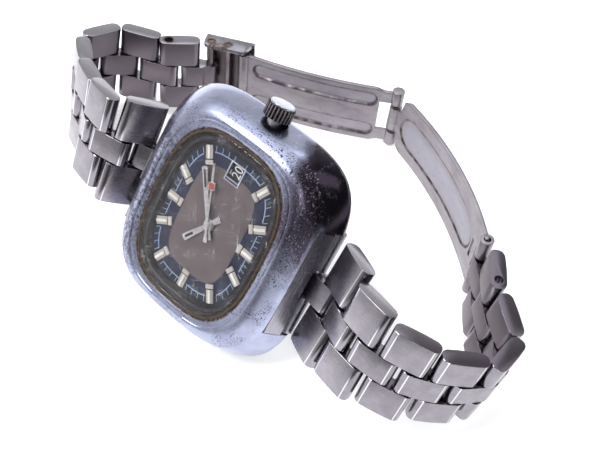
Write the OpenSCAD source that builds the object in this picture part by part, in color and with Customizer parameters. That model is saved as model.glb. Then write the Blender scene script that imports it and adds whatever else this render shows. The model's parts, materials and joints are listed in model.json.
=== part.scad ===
// Cushion-shaped automatic wristwatch on a three-row steel bracelet, lying on its side with the clasp open.
// Head frame: origin where the hands turn on the dial face, +X to 3 o'clock, +Y to 12 o'clock, +Z out of the dial.

/* [Case] */

// half width of the case towards 3 o'clock at its widest level
case_half_x = 19.8; // [18.8:0.1:21]
// half height of the case towards 12 o'clock at its widest level
case_half_y = 18.8; // [18.6:0.1:20]
// how square the case outline is, 2 is an ellipse
case_power = 3.8; // [3.2:0.1:4.4]
// level of the widest outline below the dial
case_wide_z = -6; // [-6.4:0.1:-5.4]
// underside of the case below the dial
case_floor_z = -8.7; // [-9.4:0.1:-8.4]
// half width of the shoulder where the flank meets the rim
shoulder_half_x = 17.5; // [16.8:0.1:18.2]
// half height of the shoulder where the flank meets the rim
shoulder_half_y = 14.8; // [14.2:0.1:15.4]
// level of the shoulder above the dial
shoulder_z = 0.7; // [0.4:0.1:0.9]
// top of the rim above the dial
rim_z = 1.5; // [1.4:0.05:1.9]
// half width of the crystal opening
opening_half_x = 14.9; // [14.6:0.1:15.1]
// half height of the crystal opening
opening_half_y = 11.8; // [11.6:0.1:12]
// how square the crystal opening is
opening_power = 2.9; // [2.6:0.1:3.4]
// radius of the movement bore in the case
bore_r = 13.4; // [13.3:0.1:13.8]
// points around each case outline
outline_points = 96; // [64:8:128]

/* [Lugs and end links] */

// distance between the lugs
lug_gap = 20; // [19.9:0.1:21]
// distance of each spring bar from the head centre
spring_bar_y = 17.3; // [17.2:0.05:17.5]
// level of the spring bars below the dial
spring_bar_z = -6.7; // [-6.8:0.1:-6.4]
// radius of the spring bar barrel
spring_bar_r = 0.7; // [0.6:0.05:0.8]
// radius of the spring bar tips
spring_tip_r = 0.45; // [0.35:0.05:0.5]
// outer radius of the end link tubes
end_tube_r = 1.3; // [1.2:0.05:1.4]
// sheet thickness of the end links
end_link_t = 0.7; // [0.5:0.05:0.8]

/* [Crystal and dial] */

// thickness of the crystal at its edge
crystal_edge_t = 0.6; // [0.5:0.05:0.7]
// height of the crystal dome over its edge
crystal_dome = 0.8; // [0.5:0.1:1]
// width of the gasket around the crystal
gasket_w = 0.45; // [0.35:0.05:0.5]
// underside of the crystal above the dial
crystal_z = 0.9; // [0.9:0.05:0.95]
// half width of the dial
dial_half_x = 13.3; // [13.2:0.05:13.35]
// half height of the dial
dial_half_y = 10.3; // [10.2:0.05:10.35]
// how square the dial outline is
dial_power = 3.3; // [3:0.1:3.6]
// thickness of the dial
dial_t = 0.4; // [0.3:0.05:0.5]
// distance of the 12 and 6 o'clock batons from the centre
baton_12 = 7.8; // [7.4:0.1:8]
// distance of the 1, 5, 7 and 11 o'clock batons
baton_1 = 9.1; // [8.8:0.1:9.4]
// distance of the 2, 4, 8 and 10 o'clock batons
baton_2 = 11.2; // [10.8:0.1:11.3]
// distance of the 9 o'clock baton
baton_9 = 10.6; // [10.2:0.1:10.8]
// length of a baton
baton_l = 2.2; // [1.8:0.1:2.4]
// width of a baton
baton_w = 1.35; // [1:0.05:1.6]
// height of a baton over the dial
baton_h = 0.3; // [0.2:0.05:0.4]
// distance of the date window from the centre
date_x = 9.9; // [9.6:0.1:10.1]
// length of the date window
date_l = 2.5; // [2.2:0.1:2.6]
// height of the date window
date_h = 2.5; // [2.2:0.1:2.8]

/* [Hands] */

// time shown, hours past 12
shown_hour = 10; // [0:1:11]
// time shown, minutes
shown_minute = 9.4; // [0:0.1:59]
// time shown, seconds
shown_second = 11.4; // [0:0.1:59]
// length of the hour hand from its centre
hour_hand_l = 5.7; // [5:0.1:6]
// length of the minute hand from its centre
minute_hand_l = 9.5; // [8.8:0.1:9.8]
// length of the second hand from its centre
second_hand_l = 10.1; // [9:0.1:10.4]
// tail length of the hands
hand_tail = 2.4; // [1.8:0.1:2.8]
// thickness of the hour and minute hands
hand_t = 0.15; // [0.1:0.01:0.18]

/* [Crown] */

// radius of the crown over its flutes
crown_r = 2.4; // [2.1:0.1:2.7]
// length of the crown
crown_l = 2.6; // [2.4:0.1:3.2]
// level of the crown axis below the dial
crown_z = -3.6; // [-3.8:0.1:-3.2]
// gap between crown and case when pushed in
crown_gap = 0.15; // [0.1:0.05:0.3]
// number of flutes around the crown
crown_flutes = 24; // [18:1:30]
// how far the crown pulls out
crown_pull = 1; // [0.6:0.1:1.2]
// radius of the winding stem
stem_r = 0.55; // [0.4:0.05:0.65]
// radius of the crown tube
crown_tube_r = 1.2; // [1.1:0.05:1.4]

/* [Movement] */

// radius of the main plate
plate_r = 12.6; // [12:0.1:12.8]
// top of the main plate below the dial
plate_top = -1; // [-1.2:0.05:-0.95]
// underside of the main plate below the dial
plate_floor = -5.4; // [-5.6:0.1:-5.2]
// radius of the rotor
rotor_r = 12.1; // [11:0.1:12.5]
// thickness of the rotor web
rotor_t = 0.5; // [0.4:0.05:0.7]
// height of the heavy rim of the rotor
rotor_rim_h = 1.6; // [1:0.1:1.8]
// radius of the balance wheel
balance_r = 3.4; // [3:0.1:3.6]

/* [Case back] */

// radius of the case back
back_r = 14.2; // [14:0.1:14.6]
// thickness of the case back outside the case
back_t = 0.8; // [0.6:0.1:1]
// height of the snap rim inside the case
back_rim_h = 0.8; // [0.6:0.1:1]

/* [Bracelet] */

// distance between two neighbouring pins
half_pitch = 4; // [3.98:0.01:4.3]
// length of a link
link_l = 7.5; // [7.2:0.05:7.6]
// thickness of a link
link_t = 2.8; // [2.4:0.1:2.9]
// length of the sloped strip at each end of a link
link_bevel = 0.7; // [0.4:0.05:0.8]
// radius that rounds the end of a link
link_end_r = 0.9; // [0.8:0.05:1.1]
// width of a centre link
centre_w = 4.4; // [4:0.1:4.6]
// gap between a centre link and the outer links beside it
side_gap = 0.25; // [0.2:0.01:0.35]
// width of the outer links of pair 1, next to the head
outer_w_1 = 7.35; // [7:0.05:7.4]
// width of the outer links of pair 2
outer_w_2 = 6.4; // [6:0.1:7]
// width of the outer links of pair 3
outer_w_3 = 5.6; // [5.3:0.1:6.2]
// width of the outer links from pair 4 to the clasp
outer_w_4 = 5.1; // [4.9:0.1:5.6]
// radius of the bracelet pins
pin_r = 0.5; // [0.4:0.05:0.6]
// wall left over each hidden pin end
pin_cover = 0.8; // [0.5:0.1:1.2]
// radial clearance of the pins in the centre links
pin_play = 0.05; // [0.03:0.01:0.1]
// radius of the open pin holes in the last pairs
open_hole_r = 0.75; // [0.6:0.05:0.9]

/* [Clasp] */

// thickness of the blade sheet
blade_t = 0.8; // [0.6:0.05:1]
// width of the middle blade
middle_blade_w = 12.6; // [12:0.1:12.8]
// length of the middle blade between its pins
middle_blade_l = 29.7; // [28:0.1:31.5]
// how far the middle blade bows inwards
middle_blade_bow = 1.2; // [0.8:0.1:1.8]
// width of the end blade at its bracelet end
end_blade_w = 13.8; // [13:0.1:14.4]
// length of the end blade between its pins
end_blade_l = 36.1; // [34.5:0.1:38]
// how far the end blade bows outwards
end_blade_bow = 2.4; // [1.8:0.1:3]
// radius of the blade knuckles
knuckle_r = 1.15; // [1.05:0.05:1.25]
// radius of the clasp pins
clasp_pin_r = 0.5; // [0.4:0.05:0.6]
// width of the knuckle at the fold of the blades
fold_knuckle_w = 5.2; // [4.8:0.1:5.6]
// gap at each side of that knuckle, whose pin only the end blade holds
fold_gap = 0.8; // [0.7:0.05:1]
// length of the clasp cover past its pin
cover_l = 8; // [7.8:0.1:8.6]
// length of the clasp cover before its pin
cover_lead = 1.3; // [1.2:0.1:1.5]
// thickness of the walls of the clasp cover
cover_wall = 0.8; // [0.6:0.05:0.9]
// rise of the cover face over its pin
cover_rise = 2.3; // [2.2:0.1:2.6]
// distance from one adjustment hole to the next
adjust_step = 3.3; // [3.2:0.1:3.4]
// distance from the first adjustment hole to the middle blade pin
cover_pivot = 6.5; // [6.4:0.1:6.7]

/* [Bracelet pose] */

// bend at each pin of the 6 o'clock side in degrees, from the spring bar to the last link
bend_6 = [-14, -15, -2, 21, 19, 12, 16, 10, 10, 37, 31, 20, -6, -9, 11]; // degrees
// roll in the play of each of these pins in degrees
roll_6 = [1.5, 1, 3, 3, 3, 3, 2.5, 2.5, 2.5, 1, -0.5, -1, -2, -2, -1.5]; // degrees
// sideways swing in the play of each of these pins in degrees
swing_6 = [-2, -2, -1, 0, 0, 0, 1.5, 1.5, 2, 2, 2, 1, 0, -1, -1.5]; // degrees
// bend at each pin of the 12 o'clock side in degrees, from the spring bar to the clasp cover
bend_12 = [-30, -30, 48, 26, 22, -13, 19, -7, 33, 31, 25, 28, 2, -21, 0, 19.7]; // degrees
// roll in the play of each of these pins in degrees
roll_12 = [-3, 0, -3, -3, -2.5, -2, -1, -1, -0.5, -0.5, 0.5, 1, 1.5, 1, 1, 1]; // degrees
// sideways swing in the play of each of these pins in degrees
swing_12 = [2, 2, 1.5, -1, -2, -1.5, -1.5, -1, -1, -0.5, -1, -1, -2, -2, -1, 0]; // degrees

/* [Resting pose] */

// how far the head leans back from standing on its side, in degrees
lean = -47.5; // [-50:0.5:-45]
// how far the head is turned on the table, in degrees
turn = 45.5; // [40:0.5:50]
// place of the head centre across the table
head_x = -9.36; // [-12:0.1:-6]
// place of the head centre along the table
head_y = -8.03; // [-10:0.1:-5]
// height of the head centre over the table
head_z = 19.1; // [18:0.01:20]

/* [Hidden] */

$fn = 48;
steel = "#a9a9b4";
dark_steel = "#6f6b76";
brass = "#b9a468";
eps = 0.01;
slide_fit = 0.05;
press_fit = 0.02;
seat = 0.02;

// outline of the case, the crystal and the dial
function sgn_pow(v, e) = sign(v) * pow(abs(v), e);
function outline(hx, hy, power) = [
  for (i = [0 : outline_points - 1])
    let (a = 360 * i / outline_points)
      [hx * sgn_pow(cos(a), 2 / power), hy * sgn_pow(sin(a), 2 / power)]
];

// one solid through a stack of outlines, each given as [half x, half y, power, level]
module stack(levels) {
  rings = [for (v = levels) [for (p = outline(v[0], v[1], v[2])) [p[0], p[1], v[3]]]];
  n = outline_points;
  last = len(levels) - 1;
  points = [for (r = rings) for (p = r) p];
  sides = [
    for (k = [0 : last - 1])
      for (i = [0 : n - 1])
        let (j = (i + 1) % n)
          [k * n + i, (k + 1) * n + i, (k + 1) * n + j, k * n + j]
  ];
  polyhedron(points, concat([[for (i = [0 : n - 1]) i]], sides, [[for (i = [n - 1 : -1 : 0]) last * n + i]]));
}

module outline_prism(hx, hy, power, low, high) {
  translate([0, 0, low])
    linear_extrude(high - low)
      polygon(outline(hx, hy, power));
}

module ring(outer_r, inner_r, low, high) {
  translate([0, 0, low])
    difference() {
      cylinder(r = outer_r, h = high - low);
      translate([0, 0, -eps])
        cylinder(r = inner_r, h = high - low + 2 * eps);
    }
}

// the whole head stands in the row through this placement
module in_row() {
  translate([head_x, head_y, head_z])
    rotate([0, lean, turn])
      children();
}

// case
flank_out = 1.8;
case_edge_x = max(case_half_x, shoulder_half_x + flank_out);
ledge_z = crystal_z - seat;
cavity_top = -dial_t - press_fit;
lug_notch_y = spring_bar_y - 2.3;
lug_notch_z = spring_bar_z + 4.6;

module case() {
  in_row()
    color(steel)
      difference() {
        stack([
          [case_half_x - 2.8, case_half_y - 2.4, case_power - 0.4, case_floor_z],
          [case_half_x - 1.6, case_half_y - 1.4, case_power - 0.2, case_floor_z + 0.5],
          [case_half_x - 0.5, case_half_y - 0.4, case_power, case_wide_z - 1.2],
          [case_half_x, case_half_y, case_power, case_wide_z],
          [case_half_x - 0.1, case_half_y - 0.2, case_power, case_wide_z + 1],
          [shoulder_half_x + flank_out, shoulder_half_y + 3.1, case_power, shoulder_z - 4.1],
          [shoulder_half_x + 1.2, shoulder_half_y + 2, case_power - 0.1, shoulder_z - 2.3],
          [shoulder_half_x + 0.5, shoulder_half_y + 0.7, case_power - 0.2, shoulder_z - 0.7],
          [shoulder_half_x, shoulder_half_y, case_power - 0.2, shoulder_z],
          [shoulder_half_x - 0.5, shoulder_half_y - 0.6, case_power - 0.2, (shoulder_z + rim_z) / 2 + 0.1],
          [shoulder_half_x - 1.2, shoulder_half_y - 1.3, case_power - 0.3, rim_z],
          [opening_half_x + 0.3, opening_half_y + 0.3, opening_power + 0.2, rim_z - 0.05]
        ]);
        outline_prism(opening_half_x, opening_half_y, opening_power, ledge_z, rim_z + 1);
        outline_prism(dial_half_x + 0.25, dial_half_y + 0.25, dial_power, cavity_top - eps, rim_z);
        translate([0, 0, case_floor_z - 1])
          cylinder(r = bore_r, h = cavity_top - case_floor_z + 1);
        for (side = [-1, 1])
          lug_notch(side);
        translate([bore_r - 1, 0, crown_z])
          rotate([0, 90, 0])
            cylinder(r = crown_tube_r + press_fit, h = case_edge_x - bore_r + 2);
      }
}

// room between a pair of lugs for the end link, with the holes of its spring bar
module lug_notch(side) {
  scale([1, side, 1])
    translate([-lug_gap / 2, 0, 0])
      rotate([90, 0, 90]) {
        linear_extrude(lug_gap)
          polygon([
            [lug_notch_y, case_floor_z - 1], [lug_notch_y, lug_notch_z], plate_at(-0.06, -end_link_t),
            plate_at(-0.06, 3), [case_half_y + 6, rim_z], [case_half_y + 6, case_floor_z - 1]
          ]);
        translate([spring_bar_y, spring_bar_z, -1.6])
          cylinder(r = spring_tip_r + slide_fit, h = lug_gap + 3.2);
      }
}

back_top = case_floor_z - seat;
rim_inner_r = bore_r - slide_fit - 0.6;

module case_back() {
  in_row()
    color(dark_steel) {
      difference() {
        union() {
          translate([0, 0, back_top - back_t])
            cylinder(r = back_r, h = back_t);
          translate([0, 0, back_top - eps])
            cylinder(r = bore_r - slide_fit, h = back_rim_h);
        }
        translate([0, 0, back_top - eps])
          cylinder(r = rim_inner_r, h = 3);
        ring(back_r + 1, back_r - 0.5, back_top - back_t - eps, back_top - back_t + 0.25);
        ring(bore_r - slide_fit + 1, bore_r - 0.45, back_top + back_rim_h - 0.45, back_top + back_rim_h + 1);
      }
    }
}

module back_gasket() {
  in_row()
    color("#22201f")
      ring(bore_r - seat, bore_r - 0.45 + seat, back_top + back_rim_h - 0.45 + seat, back_top + back_rim_h - 0.02);
}

// crystal and dial
crystal_half_x = opening_half_x - gasket_w;
crystal_half_y = opening_half_y - gasket_w;
crystal_top = crystal_z + crystal_edge_t;

module crystal() {
  in_row()
    color("#c9d0d8", 0.35)
      difference() {
        stack([
          [crystal_half_x, crystal_half_y, opening_power, crystal_z],
          [crystal_half_x, crystal_half_y, opening_power, crystal_top - 0.15],
          [crystal_half_x - 0.15, crystal_half_y - 0.15, opening_power, crystal_top],
          [crystal_half_x * 0.86, crystal_half_y * 0.86, opening_power - 0.2, crystal_top + crystal_dome * 0.42],
          [crystal_half_x * 0.65, crystal_half_y * 0.65, opening_power - 0.4, crystal_top + crystal_dome * 0.74],
          [crystal_half_x * 0.4, crystal_half_y * 0.4, opening_power - 0.6, crystal_top + crystal_dome * 0.93],
          [crystal_half_x * 0.15, crystal_half_y * 0.15, 2, crystal_top + crystal_dome]
        ]);
        outline_prism(dial_half_x - 0.7, dial_half_y - 0.7, dial_power, crystal_z - 1, crystal_top - 0.1);
      }
}

module crystal_gasket() {
  in_row()
    color("#5a3c22")
      difference() {
        outline_prism(opening_half_x - seat, opening_half_y - seat, opening_power, crystal_z, crystal_top - 0.2);
        outline_prism(crystal_half_x + seat, crystal_half_y + seat, opening_power, crystal_z - 1, crystal_top + 1);
      }
}

module rehaut_ring() {
  in_row()
    color("#3a3638")
      difference() {
        outline_prism(dial_half_x + 0.23, dial_half_y + 0.23, dial_power, seat, ledge_z - seat);
        stack([
          [dial_half_x - 0.55, dial_half_y - 0.55, dial_power, seat - eps],
          [dial_half_x - 0.25, dial_half_y - 0.25, dial_power, ledge_z - seat + eps]
        ]);
      }
}

centre_hole_r = 0.9;

module dial() {
  in_row()
    color("#7c747c")
      difference() {
        outline_prism(dial_half_x, dial_half_y, dial_power, -dial_t, 0);
        translate([0, 0, -dial_t - 1])
          cylinder(r = centre_hole_r, h = dial_t + 2);
        translate([date_x - date_l / 2, -date_h / 2, -dial_t - 1])
          cube([date_l, date_h, dial_t + 2]);
      }
}

baton_inner_l = 0.75;
baton_split = 0.2;
baton_places = [
  [0, baton_12], [30, baton_1], [60, baton_2], [120, baton_2], [150, baton_1], [180, baton_12],
  [210, baton_1], [240, baton_2], [270, baton_9], [300, baton_2], [330, baton_1]
];

// one applied baton: a long outer part and a short inner block
module baton() {
  translate([-baton_w / 2, -baton_l / 2 + 0.5, seat])
    cube([baton_w, baton_l, baton_h]);
  translate([-baton_w / 2 - 0.05, -baton_l / 2 + 0.5 - baton_split - baton_inner_l, seat])
    cube([baton_w + 0.1, baton_inner_l, baton_h - 0.05]);
}

module hour_markers() {
  in_row()
    color("#d8d2c4")
      for (place = baton_places)
        rotate(-place[0])
          translate([0, place[1], 0])
            baton();
}

frame_w = 0.2;
frame_bar = 0.65;

module date_window_frame() {
  in_row()
    color("#cfccd4")
      translate([date_x - date_l / 2, -date_h / 2, seat])
        difference() {
          translate([-frame_bar, -frame_w - 0.05, 0])
            cube([date_l + frame_bar + frame_w + 0.05, date_h + 2 * frame_w + 0.1, baton_h - 0.1]);
          translate([-0.05, -0.05, -1])
            cube([date_l + 0.1, date_h + 0.1, 3]);
        }
}

disc_top = -dial_t - 0.08;
disc_t = 0.25;
disc_inner_r = 8.3;

module date_disc() {
  in_row()
    color("#16151a")
      ring(plate_r - 0.15, disc_inner_r, disc_top - disc_t, disc_top);
}

// hands
slot_share = 0.31;
hour_z = 0.24;
minute_z = 0.52;
second_z = 0.8;
hour_pipe_r = 0.75;
minute_pipe_r = 0.55;
second_pipe_r = 0.25;

// a hand along +Y: a bar that widens outwards with an open slot near its tip, a flared tail and a hub
module hand(length, hub_r, root_w, tip_w, slot_w) {
  slot_l = slot_share * length;
  linear_extrude(hand_t)
    difference() {
      union() {
        circle(r = hub_r);
        polygon([
          [-root_w / 2, 0], [root_w / 2, 0], [tip_w / 2, length - 0.15], [0, length], [-tip_w / 2, length - 0.15]
        ]);
        polygon([[-root_w / 2, 0], [root_w / 2, 0], [tip_w / 2, -hand_tail], [-tip_w / 2, -hand_tail]]);
      }
      translate([-slot_w / 2, length - 0.5 - slot_l])
        square([slot_w, slot_l]);
    }
}

module hour_hand() {
  in_row()
    color("#b4aeb2")
      rotate(-30 * (shown_hour + shown_minute / 60))
        difference() {
          union() {
            translate([0, 0, hour_z])
              hand(hour_hand_l, 1, 0.7, 1.15, 0.4);
            translate([0, 0, plate_top + 0.05])
              cylinder(r = hour_pipe_r, h = hour_z - plate_top - 0.05 + hand_t / 2);
          }
          translate([0, 0, plate_top])
            cylinder(r = minute_pipe_r + slide_fit, h = second_z - plate_top);
        }
}

module minute_hand() {
  in_row()
    color("#b4aeb2")
      rotate(-6 * shown_minute)
        difference() {
          union() {
            translate([0, 0, minute_z])
              hand(minute_hand_l, 0.8, 0.6, 1.05, 0.36);
            translate([0, 0, plate_top + 0.05])
              cylinder(r = minute_pipe_r, h = minute_z - plate_top - 0.05 + hand_t / 2);
          }
          translate([0, 0, plate_top])
            cylinder(r = second_pipe_r + slide_fit, h = second_z - plate_top);
        }
}

second_t = 0.1;
square_at = 6.4;
square_side = 1.3;

module second_hand() {
  in_row()
    color("#b8b2b6")
      rotate(-6 * shown_second) {
        translate([0, 0, second_z])
          linear_extrude(second_t)
            union() {
              circle(r = 0.5);
              polygon([[-0.12, 0], [0.12, 0], [0.22, second_hand_l], [-0.22, second_hand_l]]);
              polygon([[-0.12, 0], [0.12, 0], [0.4, -hand_tail - 0.4], [-0.4, -hand_tail - 0.4]]);
              translate([-square_side / 2, square_at - square_side / 2])
                square(square_side);
            }
        translate([0, 0, plate_top + 0.05])
          cylinder(r = second_pipe_r, h = second_z - plate_top - 0.05 + second_t / 2);
      }
}

// movement
balance_y = -6.6;
balance_low = plate_floor + 0.35;
lever_x = 9.4;
lever_room_x = 6.6;

module main_plate() {
  in_row()
    color(brass)
      difference() {
        union() {
          translate([0, 0, plate_floor])
            cylinder(r = plate_r, h = plate_top - plate_floor);
          translate([0, 0, plate_top - eps])
            cylinder(r = disc_inner_r - 0.1, h = cavity_top - plate_top + eps);
        }
        translate([0, 0, plate_top - 0.4])
          cylinder(r = hour_pipe_r + 0.3, h = 2);
        translate([0, balance_y, plate_floor - 1])
          cylinder(r = balance_r + 0.3, h = 2.6);
        translate([lever_room_x, -1.5, crown_z - 1.4])
          cube([plate_r, 3, 2.8]);
        translate([lever_room_x - 3.5, 0, crown_z])
          rotate([0, 90, 0])
            cylinder(r = stem_r + 0.1, h = 4);
        translate([0, 0, plate_floor - 1])
          cylinder(r = rotor_pin_r + slide_fit, h = 2);
      }
}

rotor_pin_r = 0.8;
rotor_low = plate_floor - 2.1;
rotor_web_z = plate_floor - 0.2 - rotor_t;

module rotor() {
  in_row()
    color("#a8a39a")
      rotate(-120)
        difference() {
          union() {
            translate([0, 0, rotor_web_z])
              difference() {
                cylinder(r = rotor_r, h = rotor_t);
                translate([-rotor_r - 1, -2 * rotor_r, -1])
                  cube([2 * rotor_r + 2, 2 * rotor_r - 1, 3]);
              }
            translate([0, 0, rotor_web_z + rotor_t - rotor_rim_h])
              difference() {
                cylinder(r = rotor_r, h = rotor_rim_h - eps);
                translate([0, 0, -1])
                  cylinder(r = rotor_r - 2.2, h = 5);
                translate([-rotor_r - 1, -2 * rotor_r, -1])
                  cube([2 * rotor_r + 2, 2 * rotor_r, 5]);
              }
            translate([0, 0, rotor_web_z])
              cylinder(r = 2.2, h = rotor_t);
            translate([0, 0, rotor_web_z])
              cylinder(r = rotor_pin_r, h = rotor_t + 1);
          }
          for (a = [60, 120])
            rotate(a)
              translate([6, 0, rotor_web_z - 1])
                cylinder(r = 1.6, h = 3);
        }
}

module balance_wheel() {
  in_row()
    color("#c7ab5c")
      translate([0, balance_y, balance_low]) {
        difference() {
          cylinder(r = balance_r, h = 0.5);
          translate([0, 0, -1])
            cylinder(r = balance_r - 0.6, h = 3);
        }
        translate([-balance_r + 0.2, -0.25, 0])
          cube([2 * balance_r - 0.4, 0.5, 0.4]);
        cylinder(r = 0.35, h = 0.9);
      }
}

module movement_ring() {
  in_row()
    color("#8f8a84")
      difference() {
        ring(bore_r - slide_fit, plate_r + slide_fit, plate_floor + 0.6, cavity_top - seat);
        translate([bore_r - 2, -1.8, crown_z - 1.6])
          cube([4, 3.6, 3.2]);
      }
}

module setting_lever() {
  in_row()
    color("#9d9da3")
      difference() {
        translate([lever_x, -1.2, crown_z - 1.1])
          cube([0.6, 2.4, 2.2]);
        translate([lever_x - 1, 0, crown_z])
          rotate([0, 90, 0])
            cylinder(r = stem_r - 0.2 + slide_fit, h = 3);
      }
}

// crown
crown_base_x = case_edge_x + crown_gap;
stem_in_x = lever_room_x - 2;
stem_out_x = crown_base_x + 1.6;
groove_play = 0.1;

module winding_stem() {
  in_row()
    color("#8d8d95")
      translate([0, 0, crown_z])
        rotate([0, 90, 0])
          difference() {
            translate([0, 0, stem_in_x])
              cylinder(r = stem_r, h = stem_out_x - stem_in_x);
            translate([0, 0, lever_x - groove_play])
              difference() {
                cylinder(r = stem_r + 1, h = 0.6 + 2 * groove_play);
                translate([0, 0, -1])
                  cylinder(r = stem_r - 0.2, h = 4);
              }
          }
}

flute_r = 0.24;

module crown() {
  in_row()
    color(steel)
      translate([crown_base_x, 0, crown_z])
        rotate([0, 90, 0])
          difference() {
            union() {
              cylinder(r = crown_r, h = crown_l - 0.35);
              translate([0, 0, crown_l - 0.35 - eps])
                cylinder(r1 = crown_r - 0.05, r2 = crown_r - 0.4, h = 0.35 + eps);
            }
            for (i = [0 : crown_flutes - 1])
              rotate(360 * i / crown_flutes)
                translate([crown_r + 0.03, 0, -1])
                  cylinder(r = flute_r, h = crown_l + 0.75, $fn = 16);
            translate([0, 0, -1])
              cylinder(r = stem_r + press_fit, h = stem_out_x - crown_base_x + 1.05);
            translate([0, 0, -1])
              cylinder(r = crown_tube_r + 0.1, h = 1 + 1.15);
          }
}

module crown_tube() {
  in_row()
    color("#8b8790")
      translate([0, 0, crown_z])
        rotate([0, 90, 0])
          difference() {
            translate([0, 0, bore_r + 0.1])
              cylinder(r = crown_tube_r, h = crown_base_x + 1 - bore_r - 0.1);
            cylinder(r = stem_r + slide_fit, h = 30);
          }
}

// end links
tube_half = lug_gap / 2 - 0.2;
tongue_half = (centre_w + 2 * side_gap) / 2 + 0.2;
plate_in = [spring_bar_y - 0.85, spring_bar_z + 5.35];
plate_out = [spring_bar_y + 0.9, spring_bar_z + 2.4];
plate_l = norm(plate_out - plate_in);
tongue_l = plate_l - 0.45;
tongue_start = 1.1;
tongue_rise = 0.45;

// point of the end link seen from its end: along the cover plate and out of its surface
function plate_at(along, out) =
  let (d = (plate_out - plate_in) / plate_l)
    plate_in + along * d + out * [-d[1], d[0]];

// the folded sheet of one end link beside its centre: cover plate flush with the flank, web and tube
module end_link_side(low, high) {
  translate([low, 0, 0])
    rotate([90, 0, 90])
      linear_extrude(high - low)
        difference() {
          union() {
            polygon([
              plate_at(0, -end_link_t), plate_at(0, -0.1), plate_at(0.1, 0), plate_at(plate_l - 0.3, 0),
              plate_at(plate_l, -0.3), plate_at(plate_l - 0.1, -end_link_t)
            ]);
            polygon([
              plate_at(1, -end_link_t), plate_at(plate_l - 1, -end_link_t),
              [spring_bar_y + 0.4, spring_bar_z + 1.1], [spring_bar_y - 0.6, spring_bar_z + 0.9],
              [spring_bar_y - 1.1, spring_bar_z + 2.3]
            ]);
            translate([spring_bar_y, spring_bar_z])
              circle(r = end_tube_r);
          }
          translate([spring_bar_y, spring_bar_z])
            circle(r = spring_bar_r + slide_fit);
        }
}

// cover plate over the first centre link, with its raised tongue
module end_link_centre() {
  translate([-tongue_half - eps, 0, 0])
    rotate([90, 0, 90])
      linear_extrude(2 * tongue_half + 2 * eps)
        polygon([
          plate_at(0, -end_link_t), plate_at(0, -0.1), plate_at(0.1, 0), plate_at(tongue_start, 0),
          plate_at(tongue_start + 0.15, tongue_rise), plate_at(tongue_start + 0.5, tongue_rise),
          plate_at(tongue_l, -0.15), plate_at(tongue_l, -end_link_t)
        ]);
}

module end_link(side) {
  in_row()
    color(steel)
      rotate(side > 0 ? 0 : 180) {
        end_link_side(-tube_half, -tongue_half);
        end_link_side(tongue_half, tube_half);
        end_link_centre();
      }
}

module spring_bar(side) {
  in_row()
    color(dark_steel)
      translate([0, side * spring_bar_y, spring_bar_z])
        rotate([0, 90, 0]) {
          translate([0, 0, -tube_half + 0.1])
            cylinder(r = spring_bar_r, h = 2 * tube_half - 0.2);
          translate([0, 0, -lug_gap / 2 - 1.4])
            cylinder(r = spring_tip_r, h = lug_gap + 2.8);
        }
}

module end_link_12() end_link(1);
module end_link_6() end_link(-1);
module spring_bar_12() spring_bar(1);
module spring_bar_6() spring_bar(-1);

// bracelet frames: x runs from one pin to the next, y along the pin, z out of the wrist
function turn_x(a) = [[1, 0, 0, 0], [0, cos(a), -sin(a), 0], [0, sin(a), cos(a), 0], [0, 0, 0, 1]];
function turn_y(a) = [[cos(a), 0, sin(a), 0], [0, 1, 0, 0], [-sin(a), 0, cos(a), 0], [0, 0, 0, 1]];
function turn_z(a) = [[cos(a), -sin(a), 0, 0], [sin(a), cos(a), 0, 0], [0, 0, 1, 0], [0, 0, 0, 1]];
function shift(x, y, z) = [[1, 0, 0, x], [0, 1, 0, y], [0, 0, 1, z], [0, 0, 0, 1]];
function bend_of(side, k) = side > 0 ? bend_12[k] : bend_6[k];
function roll_of(side, k) = side > 0 ? roll_12[k] : roll_6[k];
function swing_of(side, k) = side > 0 ? swing_12[k] : swing_6[k];
function link_frame(side, k) =
  side < 0 && k == blade_frame
    ? end_blade_frame
    : (k == 0
        ? shift(0, side * spring_bar_y, spring_bar_z) * turn_z(side * 90)
        : link_frame(side, k - 1) * shift(half_pitch, 0, 0))
      * turn_y(bend_of(side, k)) * turn_x(roll_of(side, k)) * turn_z(swing_of(side, k));

// the two blades close the loop: their lengths settle where they fold
function axis_of(m, i) = [m[0][i], m[1][i], m[2][i]];
function unit(v) = v / norm(v);
function frame_of(x, y, z, at) = [
  [x[0], y[0], z[0], at[0]], [x[1], y[1], z[1], at[1]], [x[2], y[2], z[2], at[2]], [0, 0, 0, 1]
];
function back_of(m) =
  let (x = axis_of(m, 0), y = axis_of(m, 1), z = axis_of(m, 2), at = axis_of(m, 3))
    [concat(x, [-x * at]), concat(y, [-y * at]), concat(z, [-z * at]), [0, 0, 0, 1]];
blade_frame = len(bend_6);
cover_place = link_frame(1, blade_frame) * shift(cover_pivot, 0, 0);
last_link_place = link_frame(-1, blade_frame - 1) * shift(half_pitch, 0, 0);
last_pin = axis_of(back_of(cover_place) * last_link_place, 3);
pin_span = norm([last_pin[0], last_pin[2]]);
end_reach_2 = end_blade_l * end_blade_l - last_pin[1] * last_pin[1];
fold_cos = (middle_blade_l * middle_blade_l + pin_span * pin_span - end_reach_2) / (2 * middle_blade_l * pin_span);
bend_blade = -atan2(last_pin[2], last_pin[0]) - acos(fold_cos);
middle_blade_frame = cover_place * turn_y(bend_blade);
fold_at = axis_of(middle_blade_frame * shift(middle_blade_l, 0, 0), 3);
end_x = unit(fold_at - axis_of(last_link_place, 3));
end_z = unit(cross(end_x, -axis_of(middle_blade_frame, 1)));
end_blade_frame = frame_of(end_x, cross(end_z, end_x), end_z, axis_of(last_link_place, 3));

// tilt that carries the pin of frame k - 1 into frame k, without the bend about that pin
module as_pin_before(side, k) {
  multmatrix(turn_z(-swing_of(side, k)) * turn_x(-roll_of(side, k)))
    children();
}

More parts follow.
